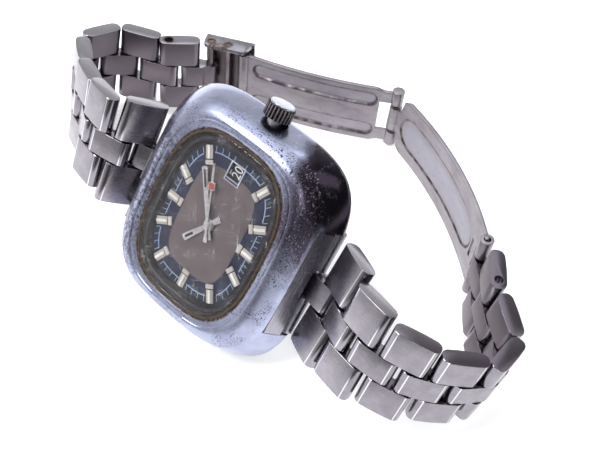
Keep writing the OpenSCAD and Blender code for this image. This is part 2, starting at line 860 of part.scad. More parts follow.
// place of the pin of frame k + 1 as seen from frame k
module as_pin_after(side, k) {
  multmatrix(back_of(link_frame(side, k)) * link_frame(side, k + 1))
    children();
}

module along_y(r, length, at = 0) {
  translate([0, at - length / 2, 0])
    rotate([-90, 0, 0])
      cylinder(r = r, h = length);
}

link_lead = (link_l - half_pitch) / 2;

// link body from its first pin on, with sloped strips and rounded ends
module link_block(width, at) {
  flat_low = -link_lead + link_end_r;
  flat_high = half_pitch + link_lead - link_end_r;
  drop = link_t / 2 - link_bevel;
  translate([0, at + width / 2, 0])
    rotate([90, 0, 0])
      linear_extrude(width)
        polygon([
          [flat_low, link_t / 2], [flat_high, link_t / 2], [flat_high + link_bevel, drop],
          [flat_high + link_bevel, -drop], [flat_high, -link_t / 2], [flat_low, -link_t / 2],
          [flat_low - link_bevel, -drop], [flat_low - link_bevel, drop]
        ]);
  for (x = [flat_low, flat_high])
    translate([x, 0, 0])
      along_y(link_end_r, width, at);
}

function outer_w(pair) = pair == 1 ? outer_w_1 : pair == 2 ? outer_w_2 : pair == 3 ? outer_w_3 : outer_w_4;
gap_w = centre_w + 2 * side_gap;
last_pair = 7;
open_side = 1;

// centre link k of one side: its bores follow the pins that it swings on
module centre_link(side, number) {
  k = 2 * (number - 1);
  first_r = (number == 1 ? spring_bar_r : pin_r) + pin_play;
  last_r = (number == last_pair + 1 ? clasp_pin_r : pin_r) + pin_play;
  in_row()
    multmatrix(link_frame(side, k))
      color(steel)
        difference() {
          if (number == last_pair + 1)
            intersection() {
              link_block(centre_w, 0);
              union() {
                translate([-link_l / 2, -centre_w, -link_t])
                  cube([link_l / 2 + half_pitch - 1.6, 2 * centre_w, 2 * link_t]);
                translate([half_pitch - 1.7, -centre_w, -knuckle_r])
                  cube([1.7, 2 * centre_w, 2 * knuckle_r]);
                translate([half_pitch, 0, 0])
                  along_y(knuckle_r, 2 * centre_w);
              }
            }
          else
            link_block(centre_w, 0);
          as_pin_before(side, k)
            along_y(first_r, 3 * centre_w);
          as_pin_after(side, k)
            along_y(last_r, 3 * centre_w);
        }
}

// the two outer links of a pair with the two pins pressed into them
module outer_links(side, pair) {
  k = 2 * pair - 1;
  w = outer_w(pair);
  reach = gap_w / 2 + w - pin_cover;
  in_row()
    multmatrix(link_frame(side, k))
      color(steel) {
        for (s = [-1, 1])
          difference() {
            link_block(w, s * (gap_w + w) / 2);
            for (x = [0, half_pitch])
              translate([x, 0, 0])
                along_y(pin_r + press_fit, 2 * reach + 2 * press_fit);
            if (pair == last_pair)
              translate([0, s * (reach + pin_cover / 2 + 0.5), 0])
                along_y(open_hole_r, 2 * pin_cover + 1);
          }
        for (x = [0, half_pitch])
          translate([x, 0, 0])
            along_y(pin_r, 2 * reach - (pair == last_pair && x == 0 ? pin_cover : 0));
      }
}

module centre_link_6_1() centre_link(-1, 1);
module outer_links_6_1() outer_links(-1, 1);
module centre_link_6_2() centre_link(-1, 2);
module outer_links_6_2() outer_links(-1, 2);
module centre_link_6_3() centre_link(-1, 3);
module outer_links_6_3() outer_links(-1, 3);
module centre_link_6_4() centre_link(-1, 4);
module outer_links_6_4() outer_links(-1, 4);
module centre_link_6_5() centre_link(-1, 5);
module outer_links_6_5() outer_links(-1, 5);
module centre_link_6_6() centre_link(-1, 6);
module outer_links_6_6() outer_links(-1, 6);
module centre_link_6_7() centre_link(-1, 7);
module outer_links_6_7() outer_links(-1, 7);
module centre_link_6_8() centre_link(-1, 8);
module centre_link_12_1() centre_link(1, 1);
module outer_links_12_1() outer_links(1, 1);
module centre_link_12_2() centre_link(1, 2);
module outer_links_12_2() outer_links(1, 2);
module centre_link_12_3() centre_link(1, 3);
module outer_links_12_3() outer_links(1, 3);
module centre_link_12_4() centre_link(1, 4);
module outer_links_12_4() outer_links(1, 4);
module centre_link_12_5() centre_link(1, 5);
module outer_links_12_5() outer_links(1, 5);
module centre_link_12_6() centre_link(1, 6);
module outer_links_12_6() outer_links(1, 6);
module centre_link_12_7() centre_link(1, 7);
module outer_links_12_7() outer_links(1, 7);
module centre_link_12_8() centre_link(1, 8);

// clasp cover over the last centre link at 12 o'clock
cover_half = gap_w / 2 + outer_w_4;
cover_in_half = cover_half - cover_wall;
cover_floor = -link_t / 2;
cover_top = cover_rise;
cover_slant = 1.3;

module cover_frame() {
  in_row()
    multmatrix(link_frame(1, blade_frame))
      children();
}

module clasp_cover() {
  cover_frame()
    color(steel)
      difference() {
        intersection() {
          translate([-cover_lead, 0, 0])
            rotate([90, 0, 90])
              linear_extrude(cover_l + cover_lead)
                polygon([
                  [-cover_half, cover_floor], [-cover_half, cover_top - 0.4], [-cover_half + 0.4, cover_top],
                  [cover_half - 0.4, cover_top], [cover_half, cover_top - 0.4], [cover_half, cover_floor],
                  [cover_in_half, cover_floor], [cover_in_half, cover_top - cover_wall],
                  [-cover_in_half, cover_top - cover_wall], [-cover_in_half, cover_floor]
                ]);
          translate([0, cover_half + 1, 0])
            rotate([90, 0, 0])
              linear_extrude(2 * cover_half + 2)
                polygon([
                  [-cover_lead, cover_floor + 1.2], [-cover_lead + 0.35, cover_floor + 0.35],
                  [-cover_lead + 1.2, cover_floor], [cover_l - cover_slant - 0.4, cover_floor],
                  [cover_l - cover_slant, cover_floor + 0.3], [cover_l, cover_top],
                  [cover_l, cover_top + 1], [-cover_lead, cover_top + 1]
                ]);
        }
        for (x = [0, adjust_step, cover_pivot])
          translate([x, 0, 0])
            along_y(clasp_pin_r + press_fit, 2 * cover_half + 2);
      }
}

// the pin of the last link, the cross bar and the pivot of the middle blade, held by the cover's walls
module cover_pins() {
  cover_frame()
    color(dark_steel)
      for (x = [0, adjust_step, cover_pivot])
        translate([x, 0, 0])
          along_y(clasp_pin_r, 2 * cover_half - 0.2);
}

// a bowed strip from x = 0 to x = length whose middle stands off by the bow, seen from the side
module bowed_strip(length, bow, low, high) {
  radius = length * length / (8 * bow) + bow / 2;
  intersection() {
    translate([length / 2, bow - radius])
      difference() {
        circle(r = radius + high, $fn = 720);
        circle(r = radius + low, $fn = 720);
      }
    translate([-1, -2])
      square([length + 2, bow + 5]);
  }
}

module bowed_plate(length, width, bow, low, high) {
  translate([0, width / 2, 0])
    rotate([90, 0, 0])
      linear_extrude(width)
        bowed_strip(length, bow, low, high);
}

module slot_prism(x0, x1, y, w) {
  translate([0, y, -6])
    linear_extrude(14) {
      translate([x0 + w / 2, -w / 2])
        square([x1 - x0 - w, w]);
      for (x = [x0 + w / 2, x1 - w / 2])
        translate([x, 0])
          circle(d = w);
    }
}

ear_in = fold_knuckle_w / 2 + fold_gap;
fold_clear = 3.1;
recess = 0.25;
trough_start = 2;
trough_end = 3.5;
trough_y = 3.6;
trough_w = 3;
fold_x = middle_blade_l;

// middle blade: x runs from its pivot in the cover to the fold
module middle_blade() {
  half = middle_blade_w / 2;
  in_row()
    multmatrix(middle_blade_frame)
      color(dark_steel)
        difference() {
          union() {
            intersection() {
              mirror([0, 0, 1])
                bowed_plate(middle_blade_l, middle_blade_w, middle_blade_bow, -blade_t / 2, blade_t / 2);
              translate([0, 0, -6])
                linear_extrude(12)
                  difference() {
                    translate([0, -half])
                      polygon([
                        [0, 0], [fold_x - 4, 0], [fold_x - 2.6, 0.5], [fold_x, 0.5],
                        [fold_x, 2 * half - 0.5], [fold_x - 2.6, 2 * half - 0.5],
                        [fold_x - 4, 2 * half], [0, 2 * half]
                      ]);
                    translate([fold_x - fold_clear, -ear_in])
                      square([fold_clear + 1, 2 * ear_in]);
                  }
            }
            along_y(knuckle_r, 2 * half);
            for (s = [-1, 1])
              translate([fold_x, 0, 0])
                along_y(knuckle_r, half - ear_in, s * (half + ear_in) / 2);
          }
          along_y(clasp_pin_r + pin_play, 3 * half);
          translate([fold_x, 0, 0])
            along_y(clasp_pin_r + pin_play, 2 * (half - 0.5));
          for (s = [-1, 1])
            intersection() {
              slot_prism(trough_start, fold_x - trough_end, s * trough_y, trough_w);
              mirror([0, 0, 1])
                bowed_plate(middle_blade_l, middle_blade_w, middle_blade_bow, blade_t / 2 - recess, blade_t);
            }
        }
}

tube_in = centre_w / 2 + 0.4;
slot_clear = 2.1;
end_half = end_blade_w / 2;
fold_half = middle_blade_w / 2;
panel_w = 7.4;
panel_depth = 0.15;
cross_slot_x = 3.4;
cross_slot_w = 0.7;
cross_slot_l = 4.4;
open_tube = 0.9;

// end blade: x runs from the last pin of the bracelet to the fold
module end_blade() {
  in_row()
    multmatrix(end_blade_frame)
      color(dark_steel)
        difference() {
          union() {
            intersection() {
              bowed_plate(end_blade_l, end_blade_w, end_blade_bow, -blade_t / 2, blade_t / 2);
              translate([0, 0, -6])
                linear_extrude(14)
                  polygon([
                    [slot_clear, -tube_in], [0, -tube_in], [0, -end_half], [8, -end_half],
                    [end_blade_l - 3.4, -fold_half], [end_blade_l - 2.4, -fold_half + 0.6],
                    [end_blade_l - 1.8, -fold_knuckle_w / 2], [end_blade_l, -fold_knuckle_w / 2],
                    [end_blade_l, fold_knuckle_w / 2], [end_blade_l - 1.8, fold_knuckle_w / 2],
                    [end_blade_l - 2.4, fold_half - 0.6], [end_blade_l - 3.4, fold_half],
                    [8, end_half], [0, end_half], [0, tube_in], [slot_clear, tube_in]
                  ]);
            }
            for (s = [-1, 1])
              along_y(knuckle_r, end_half - tube_in, s * (end_half + tube_in) / 2);
            translate([end_blade_l, 0, 0])
              along_y(knuckle_r, fold_knuckle_w);
          }
          along_y(clasp_pin_r + press_fit, 3 * end_half);
          translate([end_blade_l, 0, 0])
            along_y(clasp_pin_r + press_fit, fold_knuckle_w + 2);
          intersection() {
            slot_prism(4.6, end_blade_l - 2.6, 0, panel_w);
            bowed_plate(end_blade_l, end_blade_w, end_blade_bow, -blade_t, -blade_t / 2 + panel_depth);
          }
          translate([cross_slot_x, -cross_slot_l / 2, -3])
            cube([cross_slot_w, cross_slot_l, 6]);
        }
}

// the pin of the last link at 6 o'clock and the pin in the fold's middle knuckle
module blade_pins() {
  in_row()
    multmatrix(end_blade_frame)
      color(dark_steel) {
        along_y(clasp_pin_r, end_blade_w - 2 * open_tube);
        translate([end_blade_l, 0, 0])
          along_y(clasp_pin_r, fold_knuckle_w - 0.1);
      }
}

case();
case_back();
back_gasket();
crystal();
crystal_gasket();
rehaut_ring();
dial();
hour_markers();
date_window_frame();
date_disc();
hour_hand();
minute_hand();
second_hand();
main_plate();
rotor();
balance_wheel();
movement_ring();
setting_lever();
winding_stem();
crown();
crown_tube();
end_link_12();
end_link_6();
spring_bar_12();
spring_bar_6();
centre_link_6_1();
outer_links_6_1();
centre_link_6_2();
outer_links_6_2();
centre_link_6_3();
outer_links_6_3();
centre_link_6_4();
outer_links_6_4();
centre_link_6_5();
outer_links_6_5();
centre_link_6_6();
outer_links_6_6();
centre_link_6_7();
outer_links_6_7();
centre_link_6_8();
centre_link_12_1();
outer_links_12_1();
centre_link_12_2();
outer_links_12_2();
centre_link_12_3();
outer_links_12_3();
centre_link_12_4();
outer_links_12_4();
centre_link_12_5();
outer_links_12_5();
centre_link_12_6();
outer_links_12_6();
centre_link_12_7();
outer_links_12_7();
centre_link_12_8();
clasp_cover();
cover_pins();
middle_blade();
end_blade();
blade_pins();
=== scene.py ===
"""Studio scene of the cushion case watch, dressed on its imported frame."""

import json
import math

import bmesh
import bpy
from mathutils import Matrix, Vector


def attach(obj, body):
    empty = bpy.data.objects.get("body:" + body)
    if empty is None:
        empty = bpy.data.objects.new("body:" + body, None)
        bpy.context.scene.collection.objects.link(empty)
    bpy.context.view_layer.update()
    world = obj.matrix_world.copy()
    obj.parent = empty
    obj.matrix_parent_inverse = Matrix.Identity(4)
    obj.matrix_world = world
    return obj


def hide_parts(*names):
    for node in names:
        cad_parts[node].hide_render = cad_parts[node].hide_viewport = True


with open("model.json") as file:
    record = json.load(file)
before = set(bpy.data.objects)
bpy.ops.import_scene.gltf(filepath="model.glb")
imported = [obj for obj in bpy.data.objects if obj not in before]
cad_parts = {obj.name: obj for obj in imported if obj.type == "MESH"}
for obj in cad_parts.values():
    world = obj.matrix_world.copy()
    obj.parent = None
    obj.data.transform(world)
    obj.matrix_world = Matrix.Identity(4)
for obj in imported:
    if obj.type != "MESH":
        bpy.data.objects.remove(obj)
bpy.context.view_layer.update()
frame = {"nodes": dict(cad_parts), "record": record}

# Studio
# The camera looks steeply down on the lying watch, as in the photograph.
# A pale floor, a soft key light from the left, a wide one from behind and two weaker fills.


def add_object(name, data):
    """Puts an object with that mesh, curve, light or camera into the scene."""
    made = bpy.data.objects.new(name, data)
    bpy.context.scene.collection.objects.link(made)
    return made


camera_data = bpy.data.cameras.new("camera")
camera_data.lens = 57.1
camera_data.sensor_width = 36.0
camera_data.clip_start = 0.01
camera = add_object("camera", camera_data)
look = Vector((0.0004, 0.5226, -0.8526)).normalized()
right = look.cross(Vector((0.0398, 0.8519, 0.5222))).normalized()
upright = right.cross(look)
camera_turn = Matrix((right, upright, -look)).transposed().to_4x4()
camera.matrix_world = Matrix.Translation((0.00489, -0.08823, 0.14878)) @ camera_turn
bpy.context.scene.camera = camera


class Value:
    """An output of a node. A sum with it adds a node to its tree and gives that node's output."""

    def __init__(self, socket):
        self.socket = socket
        self.tree = socket.id_data

    def __add__(self, other):
        return maths("ADD", self, other)

    def __radd__(self, other):
        return maths("ADD", other, self)

    def __sub__(self, other):
        return maths("SUBTRACT", self, other)

    def __rsub__(self, other):
        return maths("SUBTRACT", other, self)

    def __mul__(self, other):
        return maths("MULTIPLY", self, other)

    def __truediv__(self, other):
        return maths("DIVIDE", self, other)

    def __pow__(self, other):
        return maths("POWER", self, other)

    def __neg__(self):
        return maths("MULTIPLY", self, -1.0)

    def __abs__(self):
        return maths("ABSOLUTE", self)


def node(tree, kind, inputs=None, output=0, **settings):
    """Adds a node and gives one of its outputs; values are linked to its inputs, numbers are set."""
    made = tree.nodes.new(kind)
    for key, value in settings.items():
        setattr(made, key, value)
    for key, value in (inputs or {}).items():
        if isinstance(value, Value):
            tree.links.new(value.socket, made.inputs[key])
        else:
            made.inputs[key].default_value = value
    return Value(made.outputs[output])


def maths(operation, a, b=0.0, clamp=False):
    """A sum of two values, or of a value and a number."""
    tree = (a if isinstance(a, Value) else b).tree
    return node(tree, "ShaderNodeMath", {0: a, 1: b}, operation=operation, use_clamp=clamp)


def split(value):
    """The x, y and z of a place or a direction."""
    parts = node(value.tree, "ShaderNodeSeparateXYZ", {0: value}).socket.node
    return [Value(part) for part in parts.outputs]


def material(name, metallic=0.0, roughness=0.5, local=True):
    """A new material, its shader, and the place of a point: millimetres in the piece's own frame,
    or metres in the shared one."""
    made = bpy.data.materials.new(name)
    made.use_nodes = True
    shader = made.node_tree.nodes["Principled BSDF"]
    shader.inputs["Metallic"].default_value = metallic
    shader.inputs["Roughness"].default_value = roughness
    if local:
        return made, shader, stored(made.node_tree, "local")
    return made, shader, shared_place(made.node_tree)


def colour(tone):
    """A colour or a grey with its alpha; a value stays as it is."""
    if isinstance(tone, (int, float)):
        tone = (tone, tone, tone)
    return tone if isinstance(tone, Value) else (*tone, 1.0)


def ramp(value, *stops):
    """A colour ramp with stops given as (place, colour or grey)."""
    made = node(value.tree, "ShaderNodeValToRGB", {"Fac": value})
    elements = made.socket.node.color_ramp.elements
    while len(elements) < len(stops):
        elements.new(0.5)
    for element, (place, tone) in zip(elements, stops):
        element.position = place
        element.color = colour(tone)
    return made


def rising(value, low, high):
    """Goes from 0 to 1 between two values."""
    return ramp(value, (low, 0.0), (high, 1.0))


def cloudy(value, dark, light):
    """Drifts between two tones with a noise."""
    return ramp(value, (0.3, dark), (0.7, light))


def blend(share, a, b):
    """Goes from the first tone to the second one as the share goes from 0 to 1."""
    inputs = {0: share, 6: colour(a), 7: colour(b)}
    return node(share.tree, "ShaderNodeMix", inputs, output=2, data_type="RGBA")


def stored(tree, name):
    """What a piece keeps under that name at each point or face."""
    return node(tree, "ShaderNodeAttribute", output="Vector", attribute_name=name)


def shared_place(tree):
    """Where a point is in the shared frame, in metres."""
    return node(tree, "ShaderNodeTexCoord", output="Object")


def noise(place, scale, detail=4.0, rough=0.55):
    inputs = {"Vector": place, "Scale": scale, "Detail": detail, "Roughness": rough}
    return node(place.tree, "ShaderNodeTexNoise", inputs, output="Fac")


def link(value, shader, name):
    """Leads a value into an input of the shader."""
    value.tree.links.new(value.socket, shader.inputs[name])


floor_look, shader, shared = material("pale_floor", 0.0, 0.7, local=False)
spots = noise(shared, 35.0)
link(cloudy(spots, (0.9, 0.9, 0.91), (0.93, 0.93, 0.93)), shader, "Base Color")
shader.inputs["Emission Strength"].default_value = 0.35
link(cloudy(spots, 0.96, 1.0), shader, "Emission Color")
REACH = 1.6
floor_mesh = bpy.data.meshes.new("floor")
floor_corners = [(-REACH, -REACH, 0), (REACH, -REACH, 0), (REACH, REACH, 0), (-REACH, REACH, 0)]
floor_mesh.from_pydata(floor_corners, [], [(0, 1, 2, 3)])
floor_mesh.materials.append(floor_look)
add_object("floor", floor_mesh)


def soft_light(name, place, size, power, tint=(1.0, 1.0, 1.0)):
    """A rectangular light that is turned to the middle of the floor."""
    data = bpy.data.lights.new(name, "AREA")
    data.shape = "RECTANGLE"
    data.size, data.size_y = size
    data.energy = power
    data.color = tint
    made = add_object(name, data)
    made.location = place
    made.rotation_euler = (-Vector(place)).to_track_quat("-Z", "Y").to_euler()


soft_light("key", (-0.30, 0.05, 0.60), (0.30, 0.30), 4.2)
soft_light("back", (0.0, 0.40, 0.58), (0.90, 0.60), 3.0, (0.92, 0.96, 1.0))
soft_light("right", (0.55, 0.10, 0.45), (0.30, 0.40), 0.6)
soft_light("front", (0.05, -0.45, 0.60), (0.36, 0.12), 1.4)

world = bpy.data.worlds.new("studio")
bpy.context.scene.world = world
world.use_nodes = True
sky = world.node_tree
east, north, rise = split(node(sky, "ShaderNodeTexCoord", output="Generated"))
height = rise * 0.5 + 0.5
open_side = ramp(height, (0.5, 0.95), (0.68, 0.80), (0.80, 0.30), (0.95, 0.25))
dark_side = ramp(height, (0.5, 0.13), (0.62, 0.16), (0.75, 0.18), (0.95, 0.30))
aside = rising(north * 0.3 - east * 0.25 + 0.5, 0.4, 0.6)
link(blend(aside, dark_side, open_side), sky.nodes["Background"], "Color")
sky.nodes["Background"].inputs["Strength"].default_value = 1.0
bpy.context.scene.view_settings.view_transform = "Standard"

# Case
# A cushion shaped steel case, turned and pressed from one block and polished all over, widest low
# down, with a notch at 12 and at 6 for the end links. Its polish is pitted, scratched and grimy.
# It is drawn in millimetres in its own frame: the dial faces +Z and 12 o'clock lies along +Y.

LEAN, TURN = -47.5, 45.5
CROWN_LEVEL = -3.6
HEAD = (
    Matrix.Translation((-9.36, -8.03, 19.1))
    @ Matrix.Rotation(math.radians(TURN), 4, "Z")
    @ Matrix.Rotation(math.radians(LEAN), 4, "Y")
)


def moved(part, matrix):
    return [tuple(matrix @ Vector(p)) for p in part[0]], part[1]


def through(rings, closed=False):
    """A closed skin through rings of equal count, capped at both ends unless it closes on itself."""
    count = len(rings[0])
    points = [tuple(p) for ring in rings for p in ring]
    faces = []
    last = len(rings) if closed else len(rings) - 1
    for k in range(last):
        a, b = k * count, ((k + 1) % len(rings)) * count
        for i in range(count):
            j = (i + 1) % count
            faces.append((a + i, a + j, b + j, b + i))
    if not closed:
        faces.append(tuple(range(count - 1, -1, -1)))
        faces.append(tuple((len(rings) - 1) * count + i for i in range(count)))
    return points, faces


def inset(outline, amount):
    """The outline of a counter-clockwise polygon, moved inwards by amount."""
    made = []
    count = len(outline)
    for i, (x, y) in enumerate(outline):
        x0, y0 = outline[i - 1]
        x1, y1 = outline[(i + 1) % count]
        ax, ay, bx, by = x - x0, y - y0, x1 - x, y1 - y
        la, lb = math.hypot(ax, ay) or 1, math.hypot(bx, by) or 1
        nx, ny = -ay / la - by / lb, ax / la + bx / lb
        size = nx * nx + ny * ny
        made.append((x + amount * 2 * nx / size, y + amount * 2 * ny / size))
    return made


def slab(outline, low, high, edge=0.0, axis="Z", steps=3):
    """A plate of that outline from low to high along an axis, with rounded rims."""
    rings = []
    for side in (0, 1):
        for i in range(steps + 1 if edge else 1):
            t = i / steps if edge else 0
            turn = math.pi / 2 * (t if side == 0 else 1 - t)
            depth = edge * (1 - math.sin(turn))
            rise = edge * (1 - math.cos(turn))
            level = low + rise if side == 0 else high - rise
            rings.append([(p[0], p[1], level) for p in inset(outline, depth)])
    points, faces = through(rings)
    if axis == "Y":
        points = [(x, z, y) for x, y, z in points]
    if axis == "X":
        points = [(z, x, y) for x, y, z in points]
    return points, faces


def round_bar(radius, low, high, edge=0.0, axis="Z", count=32):
    turns = [2 * math.pi * i / count for i in range(count)]
    outline = [(radius * math.cos(turn), radius * math.sin(turn)) for turn in turns]
    return slab(outline, low, high, edge, axis)


def face_outwards(mesh):
    """Turns the faces of a closed mesh outwards."""
    work = bmesh.new()
    work.from_mesh(mesh)
    bmesh.ops.recalc_face_normals(work, faces=work.faces)
    work.to_mesh(mesh)
    work.free()


def finished_mesh(thing):
    """The mesh that an object has after its modifiers."""
    return bpy.data.meshes.new_from_object(thing.evaluated_get(bpy.context.evaluated_depsgraph_get()))


def part_of(mesh):
    """The points and the faces of a mesh."""
    return [tuple(v.co) for v in mesh.vertices], [tuple(f.vertices) for f in mesh.polygons]


def carve(part, *cutters):
    """The part with closed cutters taken out of it."""
    things = []
    for points, faces in (part, *cutters):
        mesh = bpy.data.meshes.new("carving")
        mesh.from_pydata(points, [], faces)
        face_outwards(mesh)
        things.append(add_object("carving", mesh))
    made = things[0]
    for tool in things[1:]:
        step = made.modifiers.new("cut", "BOOLEAN")
        step.operation = "DIFFERENCE"
        step.solver = "EXACT"
        step.object = tool
        result = finished_mesh(made)
        made.modifiers.clear()
        made.data = result
        bpy.data.objects.remove(tool)
    part = part_of(made.data)
    bpy.data.objects.remove(made)
    return part


def piece(name, part, place, body, look, replaces=(), sharp=35.0, closed=True):
    """Makes one piece from a part in millimetres; its own coordinates stay with it as "local"."""
    points, faces = part
    mesh = bpy.data.meshes.new(name)
    mesh.from_pydata([place @ Vector(p) * 0.001 for p in points], [], faces)
    if closed:
        face_outwards(mesh)
    own = mesh.attributes.new("local", "FLOAT_VECTOR", "POINT")
    own.data.foreach_set("vector", [c for p in points for c in p])
    back = place.to_3x3().transposed()
    facing = mesh.attributes.new("facing", "FLOAT_VECTOR", "FACE")
    facing.data.foreach_set("vector", [c for face in mesh.polygons for c in back @ face.normal])
    mesh.materials.append(look)
    for face in mesh.polygons:
        face.use_smooth = True
    mesh.set_sharp_from_angle(angle=math.radians(sharp))
    made = add_object(name, mesh)
    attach(made, body)
    if replaces:
        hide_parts(*replaces)


def oval(half_x, half_y, power, count=200):
    """A superellipse with evenly spaced points, counter-clockwise from +X."""
    fine_count = 2400
    fine = []
    for i in range(fine_count):
        a = 2 * math.pi * i / fine_count
        c, s = math.cos(a), math.sin(a)
        x = math.copysign(half_x * abs(c) ** (2 / power), c)
        y = math.copysign(half_y * abs(s) ** (2 / power), s)
        fine.append((x, y))
    lengths = [0.0]
    for i in range(fine_count):
        (x0, y0), (x1, y1) = fine[i], fine[(i + 1) % fine_count]
        lengths.append(lengths[-1] + math.hypot(x1 - x0, y1 - y0))
    made, k = [], 0
    for i in range(count):
        goal = lengths[-1] * i / count
        while lengths[k + 1] < goal:
            k += 1
        t = (goal - lengths[k]) / ((lengths[k + 1] - lengths[k]) or 1)
        (x0, y0), (x1, y1) = fine[k], fine[(k + 1) % fine_count]
        made.append((x0 + (x1 - x0) * t, y0 + (y1 - y0) * t))
    return made


def oval_rings(rows, count=200):
    """A superellipse ring for each row of half width, half height, power and level."""
    return [[(x, y, z) for x, y in oval(a, b, power, count)] for a, b, power, z in rows]


def smooth_rows(rows, steps):
    """Rows of numbers with smooth rows set between them."""
    made = []
    for k in range(len(rows) - 1):
        near = (rows[max(k - 1, 0)], rows[k], rows[k + 1], rows[min(k + 2, len(rows) - 1)])
        for i in range(steps):
            t = i / steps
            row = []
            for p, q, r, s in zip(*near):
                curve = 2 * p - 5 * q + 4 * r - s
                twist = 3 * q - p - 3 * r + s
                row.append(0.5 * (2 * q + (r - p) * t + curve * t * t + twist * t**3))
            made.append(row)
    made.append(list(rows[-1]))
    return made


flank = smooth_rows(
    [
        (17.0, 16.4, 3.4, -8.7),
        (18.2, 17.4, 3.6, -8.2),
        (19.3, 18.4, 3.8, -7.2),
        (19.8, 18.8, 3.8, -6.0),
        (19.7, 18.6, 3.8, -5.0),
        (19.3, 17.9, 3.8, -3.4),
        (18.7, 16.8, 3.7, -1.6),
        (18.0, 15.5, 3.6, 0.0),
        (17.5, 14.8, 3.6, 0.72),
        (16.95, 14.15, 3.6, 1.22),
        (16.3, 13.5, 3.5, 1.49),
    ],
    5,
)
rim = [
    (16.0, 13.15, 3.4, 1.53),
    (15.86, 13.0, 3.35, 1.5),
    (15.8, 12.93, 3.3, 1.42),
    (15.72, 12.85, 3.3, 1.42),
    (15.66, 12.78, 3.3, 1.5),
    (15.5, 12.6, 3.2, 1.52),
    (15.15, 12.15, 3.1, 1.42),
    (14.98, 11.88, 2.95, 1.32),
]
notch = [(15.0, -12.0), (24.8, -12.0), (24.8, 1.5), (19.0, 0.22), (15.82, -1.66), (15.0, -2.1)]
notches = [slab([(side * y, z) for y, z in notch], -10.0, 10.0, axis="X") for side in (1, -1)]
crystal_seat = slab(oval(14.9, 11.8, 2.9), 0.88, 4.0)
dial_opening = slab(oval(13.55, 10.55, 3.3), -0.43, 1.2)
works_bore = round_bar(13.4, -12.0, -0.42, count=120)
crown_bore = moved(round_bar(1.22, 12.0, 24.0, axis="X"), Matrix.Translation((0, 0, CROWN_LEVEL)))
case_solid = carve(
    through(oval_rings(flank + rim)), crystal_seat, dial_opening, works_bore, *notches, crown_bore
)


def larger(a, b):
    return maths("MAXIMUM", a, b)


def falling(value, low, high):
    """Goes from 1 to 0 between two values."""
    return ramp(value, (low, 1.0), (high, 0.0))


def layered(tone, *layers):
    """Lays tones over the first one, each given as (share, tone)."""
    for share, upper in layers:
        tone = blend(share, tone, upper)
    return tone


def stretched(place, scale):
    return node(place.tree, "ShaderNodeVectorMath", {0: place, 1: scale}, operation="MULTIPLY")


def bump(shader, height, strength, distance):
    inputs = {"Height": height, "Strength": strength, "Distance": distance}
    link(node(height.tree, "ShaderNodeBump", inputs, output="Normal"), shader, "Normal")


case_look, shader, own = material("worn_polished_steel", 1.0, 0.2)
at_x, at_y, at_z = split(own)


def hairlines(place, turn, scale, width):
    """Long fine scratches in one direction, where a stretched noise crosses its middle."""
    turned = node(place.tree, "ShaderNodeVectorRotate", {"Vector": place, "Angle": math.radians(turn)})
    field = noise(stretched(turned, (0.12, 1.0, 0.6)), scale, 1.5)
    where = rising(noise(place, 0.45, 2.0), 0.5, 0.62)
    return ramp(abs(field - 0.5), (0.0, 1.0), (width, 0.0)) * where


hair = noise(stretched(own, (0.6, 9.0, 3.0)), 1.4, 3.0)
steel_tone = cloudy(noise(own, 0.25, 5.0), (0.27, 0.285, 0.40), (0.385, 0.41, 0.545))
# Fine pits cluster on the shoulder below the rim, and a few specks lie anywhere.
pits = rising(noise(stretched(own, (1.0, 1.0, 1.6)), 3.2, 4.0, 0.65), 0.55, 0.58)
near_edge = falling(abs(at_z - 0.5) / 2.0, 0.35, 0.75)
off_axis = abs(at_x * 0.5 - at_y)
patchy = ramp(noise(own, 0.16, 2.0) + off_axis * 0.006, (0.44, 0.05), (0.56, 1.0))
specks = rising(noise(own, 2.0, 2.0), 0.74, 0.77)
pit_share = larger(pits * near_edge * patchy, specks)
# The corner by 4 o'clock and the flank below the crown lie in a dark reflection, which is painted into
# their colour.
corner = at_x * 0.7 - at_y * 0.72 + noise(own, 0.35, 3.0) * 3.0
corner = rising(corner / 30.0, 0.65, 0.69)
below = falling(at_z * 0.05 + 0.5, 0.53, 0.565)
painted_dark_reflection = corner * below * ramp(abs(at_z) / 10.0, (0.66, 1.0), (0.72, 0.25))
ridge = falling(abs(at_z - 0.3) / 4.0, 0.28, 0.55)
sideways = at_x * 0.8 - at_y * 0.6 + noise(own, 0.5) * 8.0
past_crown = rising(at_y / -30.0, 0.24, 0.38)
# On the flank past the crown this band is a painted dark reflection.
dark_reflection_and_pits = ridge * rising(sideways / 30.0, 0.43, 0.57) * past_crown
# The ridge by 12 o'clock is pitted dark in patches.
far_side = rising(at_y / 30.0, 0.3, 0.42)
short_of_crown = falling(0.5 + at_x / 60.0, 0.64, 0.7)
rough_ground = ramp(noise(own, 1.3, 4.0, 0.65), (0.46, 0.0), (0.54, 0.85))
dark_reflection_and_pits = larger(dark_reflection_and_pits, ridge * (far_side * short_of_crown * rough_ground))
nicks = rising(noise(stretched(own, (1.0, 2.2, 1.0)), 2.6, 3.0), 0.6, 0.66)
